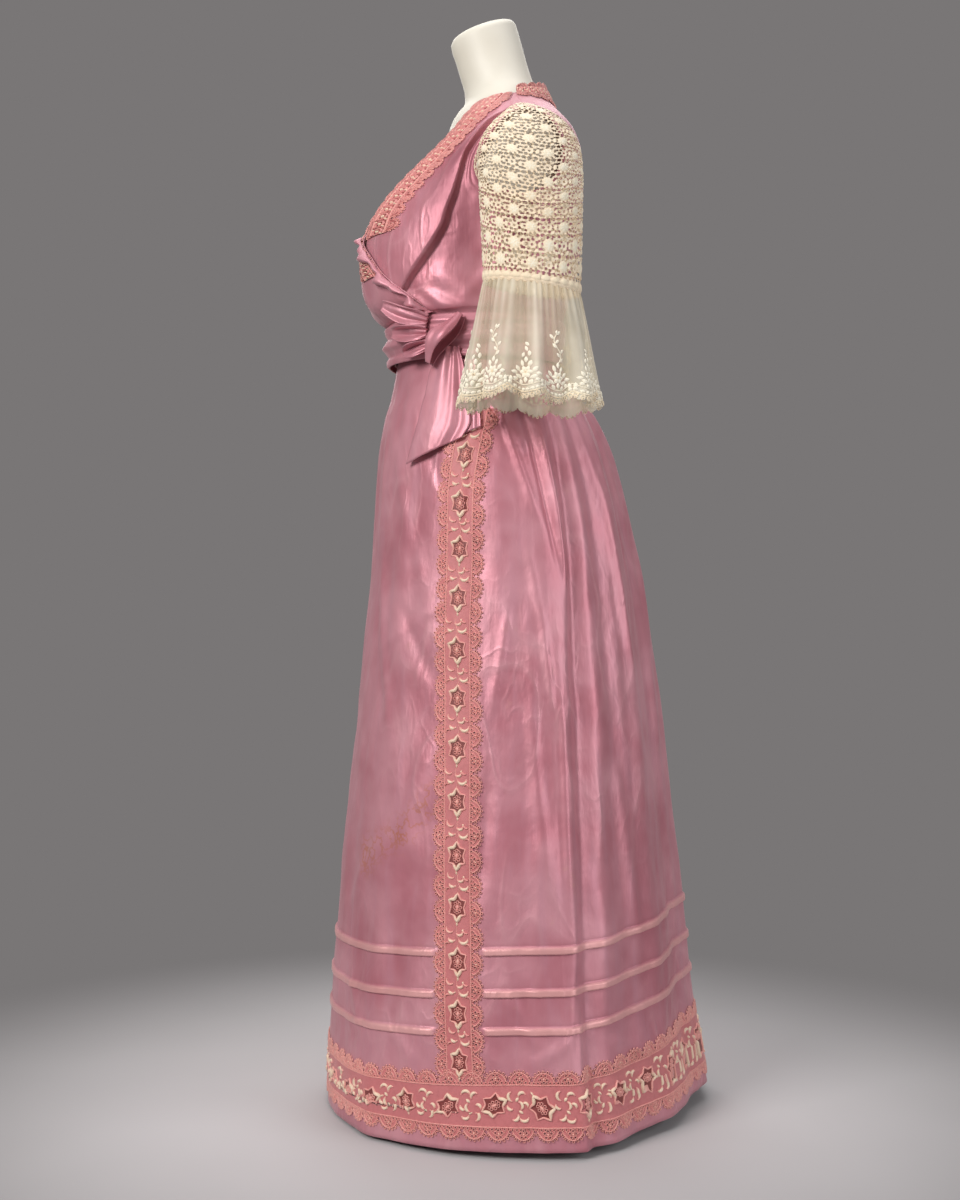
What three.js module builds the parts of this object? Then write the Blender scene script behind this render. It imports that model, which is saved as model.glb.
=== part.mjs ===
// Pink satin day dress on a limbless dress form, about 1910, in millimetres.
// +Z is up, the front faces -Y and the wearer's left is +X. The origin is on the floor, under the form's pole.
// Every cloth piece is a thin wall. Angles are in degrees round the figure: 0 is the centre front, 90 the
// wearer's left side, 180 the centre back and -90 the right side.
import * as THREE from "three";

// ---------------------------------------------------------------- driving sizes
const SEAM = 0.3; // gap left between two pieces that are sewn together
const LAID = 0.9; // gap under a trim that lies on a panel
const SATIN = 1.6; // thickness of the silk satin with its interlining
const LACE = 1.4; // thickness of the guipure lace
const NET = 1.0; // thickness of the net frill
const TRIM = 1.2; // thickness of the embroidered bands
const APPLIQUE = 1.5; // how far the padded stars stand above their band
const WAIST = 1040; // height of the waist seam
const HEM = 11; // height of the hem at the sides
const SIDE = 90; // angle of the side seams and of the shoulder line

// ---------------------------------------------------------------- tables
const table = (columns, rows) =>
  rows.map((row) => Object.fromEntries(columns.map((name, k) => [name, row[k]])));

// Horizontal sections. front, back and side are y at angles 0, 180 and 90; half is x at 90.
// sharp is the exponent of the back half: 2 is an ellipse, and less draws the back out to a point.
const SECTION = ["height", "front", "back", "side", "half", "sharp"];
const SKIRT = table(SECTION, [
  [4, -220, 330, 54, 288, 1.42],
  [60, -219, 321, 50, 284, 1.44],
  [137, -214, 305, 44, 276, 1.48],
  [194, -211, 296, 42, 270, 1.5],
  [251, -205, 289, 41, 262, 1.54],
  [384, -195, 271, 38, 244, 1.62],
  [566, -175, 247, 35, 218, 1.74],
  [657, -167, 232, 32, 206, 1.8],
  [748, -157, 217, 30, 194, 1.86],
  [839, -152, 197, 22, 182, 1.92],
  [911, -147, 175, 14, 170, 1.96],
  [965, -138, 149, 6, 156, 2],
  [986, -131, 131, 0, 148, 2],
  [WAIST, -122, 100, -10, 128, 2],
]);
const BODICE = table(SECTION, [
  [WAIST, -122, 100, -10, 128, 2],
  [1094, -126, 106, -8, 132, 2],
  [1104, -145, 108, -6, 135, 2],
  [1118, -160.5, 111, -5, 138, 2],
  [1150, -168, 118, -4, 142, 2],
  [1190, -170, 128, -1, 145, 2],
  [1225, -165, 132, 2, 147, 2],
  [1250, -154, 134, 6, 149, 2],
  [1282, -131, 135, 13, 153, 2],
  [1308, -107, 134, 16, 159, 2],
  [1334, -82, 131, 19, 164, 2],
  [1354, -66, 124, 21, 158, 2],
  [1366, -60, 118, 21, 146, 2],
  [1386, -52, 106, 22, 112, 2],
  [1412, -30, 90, 25, 76, 2],
  [1440, -27, 80, 27, 63, 2],
]);

// Fold lines of the left half of the skirt: their angles at waist and hem, and how far in mm the cloth stands
// out there at waist, hip and hem. right is the share of that on the matching line of the right half.
const SKIRT_LINES = table(
  ["waist", "hem", "atWaist", "atHip", "atHem", "right"],
  [
    [0, 0, 0, 0, 0, 1],
    [9, 11, 0, -1, -3, -0.6],
    [18, 21, 0, 0, 1, 1],
    [28, 31, 0, 2, 4, 0.7],
    [38, 41, 0, 0, 0, 1],
    [88, 77, 0, -2, -6, 0.8],
    [92, 84, 0, 0, -1, 1],
    [97, 91, 0, 2, 3, 0.9],
    [105, 97, 3, 4, 6, 0.8],
    [111, 102, -5, -7, -5, 0.8],
    [117, 110, -2, 1, 2, 1],
    [123, 119, -8, -5, -3, 0.8],
    [129, 126, -2, 0, 0, 1],
    [135, 132, 4, 4, 4, 1],
    [142, 139, -4, -1, 0, 1],
    [148, 147, -9, -6, -5, 0.8],
    [154, 153, -2, 0, 0, 1],
    [160, 159, 5, 4, 4, 0.8],
    [166, 165, -3, -1, 0, 1],
    [172, 171, -8, -5, -5, 0.9],
    [180, 180, -2, -2, -2, 1],
  ],
);
const FRONT_LINES = 5; // how many of them lie on the front panel
const HIP = 0.25; // share of the way from waist to hem at which atHip holds

// Rows of the bodice fronts. Each runs from the free edge to the side seam or armhole. The embroidered trim
// reaches from the edge to the angle trim. foldA and foldB are the troughs of the two drapes.
const FRONT_ROW = ["edge", "edgeHeight", "sideHeight", "trim", "foldA", "foldB", "deepA", "deepB"];
const UPPER_FRONT = [
  [0, 1208, 1206, 33, 61.5, 79.5, 9, 5],
  [5, 1225, 1228, 35, 62.5, 78, 8, 5],
  [9, 1244, 1250, 37, 63, 77, 8, 4],
  [12, 1262, 1264, 40, 62, 69, 7, 2],
  [16, 1282, 1284, 43, 60, 64.5, 6, 0],
  [20, 1304, 1308, 45.5, 57.5, 62, 5, 0],
  [23, 1324, 1334, 49.5, 59.5, 64, 4, 0],
  [26, 1340, 1352, 54, 65, 70, 3, 0],
  [29, 1352, 1366, 61, 74, 82, 2, 0],
  [35, 1366, 1388, 79, 83, 87, 0, 0],
  [50, 1386, 1402, 85, 87, 88.6, 0, 0],
];
const LEFT_FRONT = table(FRONT_ROW, [
  [-9, 1040.3, 1040.3, 12, 30, 78, 0, 0],
  [-9, 1094, 1094, 13, 32, 79, 0, 0],
  [-9, 1104, 1104, 14, 33, 79.5, 2, 1],
  [-9, 1118, 1118, 15, 36, 80, 5, 2],
  [-9, 1150, 1150, 17, 47.5, 80.5, 8, 4],
  [-9, 1182, 1182, 21, 57, 80.5, 9, 5],
  ...UPPER_FRONT,
]);
// The right front is measured the other way round, so its free edge crosses the middle at negative angles.
const RIGHT_FRONT = table(FRONT_ROW, [
  [-56, 1040.3, 1040.3, -36, 0, 46, 0, 0],
  [-52, 1094, 1094, -32, 2, 47, 0, 0],
  [-48, 1104, 1104, -26, 5, 48, 1, 1],
  [-43, 1118, 1118, -16, 11, 51, 3, 3],
  [-27, 1150, 1150, 0, 24, 58, 4, 4],
  [-14, 1182, 1182, 16, 39, 68, 4, 4],
  ...UPPER_FRONT.map(([edge, low, high, trim, foldA, foldB, deepA, deepB]) => [
    edge, low, high, trim, foldA, foldB, deepA * 0.6, deepB * 0.8,
  ]),
]);

// Three hand-run tucks: height of the lower edge at the sides.
const TUCKS = [255, 203, 156];
const TUCK = { deep: 11, proud: 2.4 };
// How far the hem lines drop at the centre front and rise at the centre back.
const LINE_DROP = 18;
const LINE_RISE = 32;

// Angle of the middle of the embroidered side bands at each height.
const BAND_PATH = table(
  ["height", "angle"],
  [
    [60, 60],
    [250, 59.5],
    [450, 58.8],
    [700, 57.6],
    [840, 59.5],
    [900, 63],
    [960, 69],
    [990, 71],
  ],
);
const BAND = { half: 31, core: 17, scallop: 4, pitch: 65, top: 978, flat: 37 };
// Hem border: distances above the hem of its two outer scallops and its two lines.
const BORDER = { low: 14, lowLine: 31, highLine: 84, high: 104, scallop: 5 };

const ARMHOLE = { height: 1308, rise: 58, forward: 24, backward: 30 };

// Sleeve rings from armhole to cuff. tilt is 90 on a vertical ring and 0 on a level one; across is half its
// width front to back, along is half its other width.
const SLEEVE = table(
  ["x", "y", "height", "tilt", "across", "along"],
  [
    [182, 20, 1293, 63, 67, 56],
    [197, 19, 1263, 39, 68, 50.5],
    [203, 18, 1228, 12, 67, 44],
    [207, 18, 1176, 2, 65, 43],
    [211, 17, 1113, 0, 63, 43],
  ],
);
const CUFF_SLOPE = 0.12; // drop of the cuff per mm towards the back
// Half sizes and middle of the frill at the cuff and at its hem.
const FRILL = {
  cuff: { height: 1112.2, x: 211, y: 17, across: 63.5, along: 43.5 },
  hem: { height: 964, x: 240, y: 8, across: 87, along: 66 },
  waves: 10,
  wave: 7,
  scallop: 7,
};

// Dress form, as ellipses from its flat foot to the cut top of the neck. rise is the slope of a section towards
// the back.
const FORM = table(
  ["height", "front", "back", "side", "half", "rise"],
  [
    [905, -118, 112, -2, 140, 0],
    [960, -116, 108, -4, 136, 0],
    [WAIST, -104, 86, -8, 114, 0],
    [1100, -112, 92, -6, 122, 0],
    [1150, -140, 104, -4, 132, 0],
    [1190, -150, 114, -2, 137, 0],
    [1225, -148, 120, 2, 139, 0],
    [1250, -141, 123, 6, 141, 0],
    [1282, -122, 125, 13, 145, 0],
    [1308, -102, 126, 16, 152, 0],
    [1334, -79, 124, 19, 157, 0],
    [1354, -59, 119, 21, 150.5, 0],
    [1366, -52, 113, 21, 136.5, 0],
    [1386, -45, 101, 22, 104.5, 0],
    [1400, -36, 94, 23, 89, 0],
    [1412, -27, 83, 25, 70, 0.02],
    [1430, -28, 72, 21, 56, 0.06],
    [1450, -33, 63, 15, 51, 0.14],
    [1480, -41, 53, 6, 48, 0.24],
    [1508, -48, 43, -2, 47, 0.34],
    [1515, -46, 39, -3, 43, 0.34],
  ],
);
const STAND = { baseRadius: 175, baseHeight: 14, poleRadius: 16, chamfer: 5, collar: 10 };

// ---------------------------------------------------------------- small maths
const rad = THREE.MathUtils.degToRad;
const lerp = THREE.MathUtils.lerp;
const clamp = THREE.MathUtils.clamp;
const share = (value, from, to) => clamp((value - from) / (to - from), 0, 1);
const ease = (value, from, to) => THREE.MathUtils.smoothstep(value, from, to);

// The row of a table at a height between two of its rows, every column in a straight line.
function rowAt(rows, height) {
  let k = 0;
  while (k < rows.length - 2 && height > rows[k + 1].height) k++;
  const [low, high] = [rows[k], rows[k + 1]];
  const t = (height - low.height) / (high.height - low.height);
  return Object.fromEntries(Object.keys(low).map((name) => [name, lerp(low[name], high[name], t)]));
}

// A point of a horizontal section: a superellipse whose front and back halves have their own depths.
function sectionPoint(rows, angle, height) {
  const row = rowAt(rows, height);
  const [s, c] = [Math.sin(rad(angle)), Math.cos(rad(angle))];
  const power = c > 0 ? 1 : 2 / row.sharp;
  const depth = c > 0 ? row.side - row.front : row.back - row.side;
  const x = row.half * Math.sign(s) * Math.abs(s) ** power;
  const y = row.side - depth * Math.sign(c) * Math.abs(c) ** power;
  return new THREE.Vector3(x, y, height);
}

// Moves a point straight out from the figure's own middle line by some mm.
function pushOut(point, middleY, distance) {
  const out = new THREE.Vector3(point.x, point.y - middleY, 0).normalize();
  return point.addScaledVector(out, distance);
}

const turn = (angle) => ((((angle + 180) % 360) + 360) % 360) - 180;

// ---------------------------------------------------------------- cloth surfaces
// Value between the points of a polyline given as [place, value] pairs in rising order of place.
function between(pairs, place) {
  let k = 0;
  while (k < pairs.length - 2 && place > pairs[k + 1][0]) k++;
  const [[from, a], [to, b]] = [pairs[k], pairs[k + 1]];
  return lerp(a, b, (place - from) / (to - from));
}

const bandAngle = (height) => rowAt(BAND_PATH, height).angle;
// The flat strip under a side band, narrower where the skirt curves in to the waist.
const stripDegrees = (height) => bandDegrees(BAND.flat * (1 - 0.45 * ease(height, 880, 985)), height);

// Degrees that a length of mm takes up round the skirt beside the middle of the side band.
function bandDegrees(millimetres, height) {
  const angle = bandAngle(height);
  const [from, to] = [-0.5, 0.5].map((k) => sectionPoint(SKIRT, angle + k, height));
  return millimetres / from.distanceTo(to);
}

// The skirt's fold lines at a height as [angle, stand-out] pairs, from the front (0) to the back (180).
function skirtLines(height, side) {
  const t = share(WAIST - height, 0, WAIST - HEM);
  const fade = ease(WAIST - height, 0, 40);
  return SKIRT_LINES.map((line) => {
    const upper = lerp(line.atWaist, line.atHip, share(t, 0, HIP));
    const out = t < HIP ? upper : lerp(line.atHip, line.atHem, share(t, HIP, 1));
    return [lerp(line.waist, line.hem, Math.sqrt(t)), out * fade * (side > 0 ? 1 : line.right)];
  });
}

// The skirt at an angle and height. The stiff side bands hold it flat across their width.
function skirtSurface(angle, height) {
  const a = turn(angle);
  const side = a < 0 ? -1 : 1;
  const seam = bandAngle(height);
  const flat = stripDegrees(height);
  const at = (bent) => {
    const point = sectionPoint(SKIRT, side * bent, height);
    return pushOut(point, rowAt(SKIRT, height).side, between(skirtLines(height, side), bent));
  };
  const away = Math.abs(a) - seam;
  if (Math.abs(away) >= flat) return at(Math.abs(a));
  return at(seam - flat).lerp(at(seam + flat), (away + flat) / (2 * flat));
}

const bodiceSurface = (angle, height) => sectionPoint(BODICE, angle, height);

// Outward normal of a surface of (angle, height).
function normalOf(surface, angle, height) {
  const around = surface(angle + 0.5, height).sub(surface(angle - 0.5, height));
  const up = surface(angle, height + 1).sub(surface(angle, height - 1));
  return around.cross(up).normalize();
}

// ---------------------------------------------------------------- walls
// A closed wall between two grids of points, inner and outer. Open cells are cut through.
function closedWall(inner, outer, { loop = false, isOpen = () => false, mirror = false } = {}) {
  const rows = inner.length - 1;
  const columns = loop ? inner[0].length : inner[0].length - 1;
  const wrap = (j) => j % inner[0].length;
  const open = (i, j) => {
    if (i < 0 || i >= rows) return true;
    if (!loop && (j < 0 || j >= columns)) return true;
    return isOpen(i, (j + columns) % columns);
  };
  const corners = [];
  const quad = (a, b, c, d) => corners.push(a, b, c, a, c, d);
  for (let i = 0; i < rows; i++) {
    for (let j = 0; j < columns; j++) {
      if (open(i, j)) continue;
      const [p, q, r, s] = [[i, j], [i, wrap(j + 1)], [i + 1, wrap(j + 1)], [i + 1, j]];
      const [from, to] = [([a, b]) => inner[a][b], ([a, b]) => outer[a][b]];
      quad(to(p), to(q), to(r), to(s));
      quad(from(p), from(s), from(r), from(q));
      if (open(i - 1, j)) quad(from(p), from(q), to(q), to(p));
      if (open(i + 1, j)) quad(from(r), from(s), to(s), to(r));
      if (open(i, j - 1)) quad(from(s), from(p), to(p), to(s));
      if (open(i, j + 1)) quad(from(q), from(r), to(r), to(q));
    }
  }
  return solidFrom(corners, mirror);
}

// Triangles as a geometry that faces out, mirrored to the wearer's right where asked.
function solidFrom(corners, mirror = false) {
  const points = corners.map((p) => (mirror ? new THREE.Vector3(-p.x, p.y, p.z) : p));
  let volume = 0;
  for (let k = 0; k < points.length; k += 3) {
    volume += points[k].dot(new THREE.Vector3().crossVectors(points[k + 1], points[k + 2]));
  }
  if (volume < 0) {
    for (let k = 0; k < points.length; k += 3) {
      [points[k + 1], points[k + 2]] = [points[k + 2], points[k + 1]];
    }
  }
  return new THREE.BufferGeometry().setFromPoints(points);
}

const steps = (count) => Array.from({ length: count + 1 }, (_, k) => k / count);

// A panel of a surface: rows of [angle, height, stand-off, extra thickness] points, every row as long.
// It keeps its outside, so that trims can be laid on it.
class Panel {
  constructor(surface, rows) {
    this.surface = surface;
    this.rows = rows;
    const grid = (move) =>
      rows.map((row) =>
        row.map(([angle, height, out, extra]) =>
          surface(angle, height).addScaledVector(normalOf(surface, angle, height), out + move(extra)),
        ),
      );
    this.inner = grid(() => 0);
    this.outer = grid((extra) => SATIN + extra);
  }

  geometry() {
    return closedWall(this.inner, this.outer);
  }

  // The point of the faceted outside at a fractional row and column, moved out by some mm.
  at(row, column, out) {
    const i = clamp(Math.floor(row), 0, this.rows.length - 2);
    const j = clamp(Math.floor(column), 0, this.rows[0].length - 2);
    const [t, s] = [row - i, column - j];
    const weights = s >= t ? [1 - s, s - t, t, 0] : [1 - t, 0, s, t - s];
    const corners = [[i, j], [i, j + 1], [i + 1, j + 1], [i + 1, j]];
    const mix = (value) => corners.reduce((sum, [a, b], k) => sum + weights[k] * value(a, b), 0);
    const axes = ["x", "y", "z"];
    const point = new THREE.Vector3(...axes.map((axis) => mix((a, b) => this.outer[a][b][axis])));
    const [angle, height] = [0, 1].map((place) => mix((a, b) => this.rows[a][b][place]));
    return point.addScaledVector(normalOf(this.surface, angle, height), out);
  }
}

// A wall given by one function of (u, v), with outside points moved out along its own normal.
// It takes even steps across and down, or its own places us and vs.
function sheetWall({ at, columns, rows, us, vs, thick, flip = false, loop = false, isOpen, mirror }) {
  const normal = (u, v) => {
    const e = 1e-3;
    const du = at(u + e, v).sub(at(u - e, v));
    const dv = at(u, v + e).sub(at(u, v - e));
    const n = du.cross(dv).normalize();
    return flip ? n.negate() : n;
  };
  const across = us ?? steps(columns).slice(0, loop ? -1 : undefined);
  const down = vs ?? steps(rows);
  const inner = down.map((v) => across.map((u) => at(u, v)));
  const outer = down.map((v) => across.map((u) => at(u, v).addScaledVector(normal(u, v), thick)));
  return closedWall(inner, outer, { loop, isOpen, mirror });
}

// ---------------------------------------------------------------- materials
const finish = (color, roughness, more = {}) =>
  new THREE.MeshStandardMaterial({ color, roughness, metalness: 0, ...more });
const PINK = finish(0xc9819b, 0.35);
const ROSE = finish(0xc66f7f, 0.6);
const ECRU = finish(0xded3b8, 0.85);
const SHEER = finish(0xd9d3bd, 0.8, { transparent: true, opacity: 0.6 });
const PLASTER = finish(0xe9e5d8, 0.5);
const STEEL = finish(0x8d8d8a, 0.4, { metalness: 0.8 });

const dress = new THREE.Group();
function add(name, geometry, material) {
  const mesh = new THREE.Mesh(geometry, material);
  mesh.name = name;
  dress.add(mesh);
}

// ---------------------------------------------------------------- dress form and stand
function formPoint(angle, row) {
  const [s, c] = [Math.sin(rad(angle)), Math.cos(rad(angle))];
  const y = row.side - (c > 0 ? row.side - row.front : row.back - row.side) * c;
  return new THREE.Vector3(row.half * s, y, row.height + row.rise * (y - row.side));
}

function formTorso() {
  const around = 24;
  const rings = FORM.map((row) => steps(around).slice(0, -1).map((u) => formPoint(u * 360, row)));
  const corners = [];
  for (let i = 0; i < rings.length - 1; i++) {
    for (let j = 0; j < around; j++) {
      const k = (j + 1) % around;
      const [p, q, r, s] = [rings[i][j], rings[i][k], rings[i + 1][k], rings[i + 1][j]];
      corners.push(p, q, r, p, r, s);
    }
  }
  for (const [ring, order] of [[rings[0], -1], [rings[rings.length - 1], 1]]) {
    const centre = ring.reduce((sum, p) => sum.add(p), new THREE.Vector3()).divideScalar(around);
    ring.forEach((p, j) => {
      const next = ring[(j + 1) % around];
      corners.push(centre, ...(order > 0 ? [p, next] : [next, p]));
    });
  }
  return solidFrom(corners);
}

function formStand() {
  const { baseRadius, baseHeight, poleRadius, chamfer, collar } = STAND;
  const top = FORM[0].height - SEAM;
  const profile = [
    [0, 0],
    [baseRadius, 0],
    [baseRadius, baseHeight - chamfer],
    [baseRadius - chamfer, baseHeight],
    [poleRadius + collar, baseHeight + 2],
    [poleRadius, baseHeight + collar],
    [poleRadius, top],
    [0, top],
  ].map(([x, y]) => new THREE.Vector2(x, y));
  return new THREE.LatheGeometry(profile, 24).rotateX(Math.PI / 2);
}

add("form_torso", formTorso(), PLASTER);
add("form_stand", formStand(), STEEL);

// ---------------------------------------------------------------- skirt
// A line that runs round the skirt: a height at the sides, lower in front and higher at the back.
function roundLine(height, angle) {
  const c = Math.cos(rad(angle));
  const pull = height < 60 ? 0.45 : 1 - ease(height, 320, 800);
  return height + pull * (c > 0 ? -LINE_DROP * c * c : LINE_RISE * c * c);
}

const SKIRT_TOP = WAIST - 1.2;
const SKIRT_ROWS = [
  { height: HEM },
  { height: HEM + BORDER.highLine },
  ...[...TUCKS].reverse().flatMap((low) => [
    { height: low },
    { height: low + 1, tuck: true },
    { height: low + TUCK.deep },
  ]),
  ...[350, 460, 580, 700, 810, 900, 965, SKIRT_TOP].map((height) => ({ height })),
];

const SEAM_ANGLE = 0.07; // degrees from a seam to the edge of a panel

// Angle at which the skirt's back comes within half a seam of the middle plane.
function backSeamAngle(height) {
  const { half, sharp } = rowAt(SKIRT, height);
  return 180 - THREE.MathUtils.radToDeg(Math.asin((SEAM / 2 / half) ** (sharp / 2)));
}

// One panel's row: the fold lines from one angle to another, with the band's flat strip at its seams.
function skirtRow(place, side, part) {
  const { height } = place;
  const seam = bandAngle(height);
  const flat = stripDegrees(height);
  const lines = skirtLines(height, side).map(([angle]) => angle);
  const angles =
    part === "front"
      ? [...lines.slice(0, FRONT_LINES), seam - flat, seam - SEAM_ANGLE]
      : [seam + SEAM_ANGLE, seam + flat, ...lines.slice(FRONT_LINES, -1), backSeamAngle(height)];
  return angles.map((angle) => {
    const banded = Math.abs(angle - seam) < flat + SEAM_ANGLE;
    return [side * angle, roundLine(height, angle), 0, place.tuck && !banded ? TUCK.proud : 0];
  });
}
const skirtFront = new Panel(
  skirtSurface,
  SKIRT_ROWS.map((place) => [
    ...skirtRow(place, -1, "front").slice(1).reverse(),
    ...skirtRow(place, 1, "front"),
  ]),
);
const skirtBackLeft = new Panel(skirtSurface, SKIRT_ROWS.map((place) => skirtRow(place, 1, "back")));
const skirtBackRight = new Panel(
  skirtSurface,
  SKIRT_ROWS.map((place) => skirtRow(place, -1, "back").reverse()),
);
add("skirt_front", skirtFront.geometry(), PINK);
add("skirt_back_left", skirtBackLeft.geometry(), PINK);
add("skirt_back_right", skirtBackRight.geometry(), PINK);

// ---------------------------------------------------------------- embroidered bands of the skirt
// Cross profile of a band: place across it, how much of the scallop it takes, and whether stars rise there.
const BAND_PROFILE = table(
  ["across", "scallop", "star"],
  [
    [-BAND.half, -1, 0],
    [-BAND.core, 0, 1],
    [BAND.core, 0, 1],
    [BAND.half, 1, 0],
  ],
);

// Fractional row of the skirt at a height on the seam under a side band.
function seamRow(height) {
  const heights = skirtBackLeft.rows.map((row, i) => [skirtBackLeft.outer[i][0].z, i]);
  return between(heights, height);
}

function sideBand(side) {
  const front = side > 0 ? [skirtFront.rows[0].length - 1, -1] : [0, 1];
  const back = side > 0 ? [0, 1] : [skirtBackRight.rows[0].length - 1, -1];
  const backPanel = side > 0 ? skirtBackLeft : skirtBackRight;
  const bottom = HEM + BORDER.high + BORDER.scallop;
  const count = Math.floor((BAND.top - bottom) / (BAND.pitch / 4));
  const heights = steps(count).map((v) => lerp(bottom, BAND.top, v));
  const grid = (lift) =>
    heights.map((height, i) =>
      BAND_PROFILE.map(({ across, scallop, star }) => {
        const part = (across + scallop * BAND.scallop * (i % 2)) / BAND.flat;
        const [panel, [edge, inward]] = part < 0 ? [skirtFront, front] : [backPanel, back];
        const out = LAID + lift * (TRIM + star * APPLIQUE * (i % 4 === 1 ? 1 : 0));
        return panel.at(seamRow(height), edge + inward * Math.abs(part), out);
      }),
    );
  return closedWall(grid(0), grid(1));
}
add("band_left", sideBand(1), ROSE);
add("band_right", sideBand(-1), ROSE);

// The border round the hem is sewn from three lengths, one on each panel of the skirt.
function hemBorder(panel) {
  const columns = (panel.rows[0].length - 1) * 2;
  const lines = [BORDER.low, BORDER.lowLine, BORDER.highLine, BORDER.high];
  const scallops = [-BORDER.scallop, 0, 0, BORDER.scallop];
  const grid = (lift) =>
    lines.map((line, i) =>
      steps(columns).map((u, j) => {
        const height = HEM + line + scallops[i] * (j % 2);
        const row = between(SKIRT_ROWS.map((place, k) => [place.height, k]), height);
        const star = (i === 1 || i === 2) && j % 4 === 2 ? APPLIQUE : 0;
        return panel.at(row, j / 2, LAID + lift * (TRIM + star));
      }),
    );
  return closedWall(grid(0), grid(1));
}
add("hem_border_front", hemBorder(skirtFront), ROSE);
add("hem_border_back_left", hemBorder(skirtBackLeft), ROSE);
add("hem_border_back_right", hemBorder(skirtBackRight), ROSE);

// ---------------------------------------------------------------- bodice
const armholeShare = (height) => {
  const t = (height - ARMHOLE.height) / ARMHOLE.rise;
  return Math.abs(t) >= 1 ? 0 : Math.sqrt(1 - t * t);
};
const SIDE_SEAM = 0.15; // degrees from the side seam to the edge of a panel of the bodice
const frontSide = (height) => SIDE - Math.max(SIDE_SEAM, ARMHOLE.forward * armholeShare(height));
const backSide = (height) => SIDE + Math.max(SIDE_SEAM, ARMHOLE.backward * armholeShare(height));

// One row of a front: its free edge, the trim's middle and far side, the drapes and the side seam. The right
// front stands out where it lies over the left, which is pressed in there.
const OVERLAP = { out: SATIN + 2.8, under: 1, pressed: 20, from: 50, to: 26, low: 1208, high: 1226 };
function frontRow(row, side) {
  const sideAngle = frontSide(row.sideHeight);
  const flank = side > 0 ? [] : [[(row.foldB + sideAngle) / 2, 0]];
  const lines = [
    [row.edge, 0],
    [(row.edge + row.trim) / 2, 0],
    [row.trim, 0],
    [(row.trim + row.foldA) / 2, row.deepA * 0.2],
    [row.foldA, -row.deepA],
    [(row.foldA + row.foldB) / 2, row.deepA * 0.35],
    [row.foldB, -row.deepB],
    ...flank,
    [sideAngle, 0],
  ];
  return lines.map(([angle, fold]) => {
    const t = (angle - row.edge) / (sideAngle - row.edge);
    const height = lerp(row.edgeHeight, row.sideHeight, t);
    const lapped = 1 - ease(height, OVERLAP.low, OVERLAP.high);
    const place = ease(angle, OVERLAP.to, OVERLAP.from);
    const over = (side < 0 ? OVERLAP.out * (1 - place) : -OVERLAP.under * (angle < OVERLAP.pressed)) * lapped;
    return [side * angle, height, fold + over, 0];
  });
}
const NAPE_RISE = 17; // how much higher the back neckline is at the centre than at the shoulders
const backShares = steps(12);
const leftFront = new Panel(bodiceSurface, LEFT_FRONT.map((row) => frontRow(row, 1)));
const rightFront = new Panel(bodiceSurface, RIGHT_FRONT.map((row) => frontRow(row, -1).reverse()));
const bodiceBack = new Panel(
  bodiceSurface,
  LEFT_FRONT.map(({ sideHeight }, i) =>
    backShares.map((u) => {
      const from = backSide(sideHeight);
      const angle = lerp(from, 360 - from, u);
      const top = i === LEFT_FRONT.length - 1 ? NAPE_RISE * Math.sin(Math.PI * u) : 0;
      return [angle, sideHeight + top, 0, 0];
    }),
  ),
);
add("bodice_front_left", leftFront.geometry(), PINK);
add("bodice_front_right", rightFront.geometry(), PINK);
add("bodice_back", bodiceBack.geometry(), PINK);

const OVERHANG = 0.12; // how far a neck trim reaches past its edge, as a share of a column
// Embroidered trim along the free edge of a front, in or out by a scallop on every other row.
function frontTrim(panel, side, from) {
  const last = panel.rows.length - 1;
  const width = panel.rows[0].length - 1;
  const columns = side > 0 ? [-OVERHANG, 1, 2] : [width - 2, width - 1, width + OVERHANG];
  const scallops = side > 0 ? [-0.1, 0, -0.05] : [0.05, 0, 0.1];
  const grid = (lift) =>
    steps(last - from).map((v, i) =>
      columns.map((column, k) =>
        panel.at(lerp(from, last, v), column + scallops[k] * (i % 2), LAID + lift * TRIM),
      ),
    );
  return closedWall(grid(0), grid(1));
}
// The left trim stops where the right front covers it, and the right trim where the sash's bow does.
add("neck_trim_left", frontTrim(leftFront, 1, 7), ROSE);
add("neck_trim_right", frontTrim(rightFront, -1, 4), ROSE);

// Standing collar round the back of the neck, from shoulder to shoulder.
const COLLAR = { top: 1414, rise: 19, scallop: 3, end: SIDE + 2 };
function collar() {
  const last = bodiceBack.rows.length - 1;
  const grid = (lift) => [
    ...[last - 1, last - 0.5, last].map((row) =>
      backShares.map((_, j) => bodiceBack.at(row, j, LAID + lift * TRIM)),
    ),
    backShares.map((u, j) => {
      const height = COLLAR.top + COLLAR.rise * Math.sin(Math.PI * u) + COLLAR.scallop * (j % 2);
      const angle = lerp(COLLAR.end, 360 - COLLAR.end, u);
      const out = SATIN + LAID + lift * TRIM;
      return bodiceSurface(angle, height).addScaledVector(normalOf(bodiceSurface, angle, height), out);
    }),
  ];
  return closedWall(grid(0), grid(1));
}
add("collar_back", collar(), ROSE);

// ---------------------------------------------------------------- lace sleeves
// The ring that laps over the armhole: outside the bodice at the armhole's own oval.
const HEAD = { lap: 1.5, proud: SATIN + 1.9 };
function armholeRing(turnAngle) {
  const [s, c] = [Math.sin(rad(turnAngle)), Math.cos(rad(turnAngle))];
  const angle = SIDE + ((s < 0 ? ARMHOLE.forward : ARMHOLE.backward) + HEAD.lap) * s;
  const height = ARMHOLE.height + (ARMHOLE.rise + HEAD.lap) * c;
  return bodiceSurface(angle, height).addScaledVector(normalOf(bodiceSurface, angle, height), HEAD.proud);
}

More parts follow.
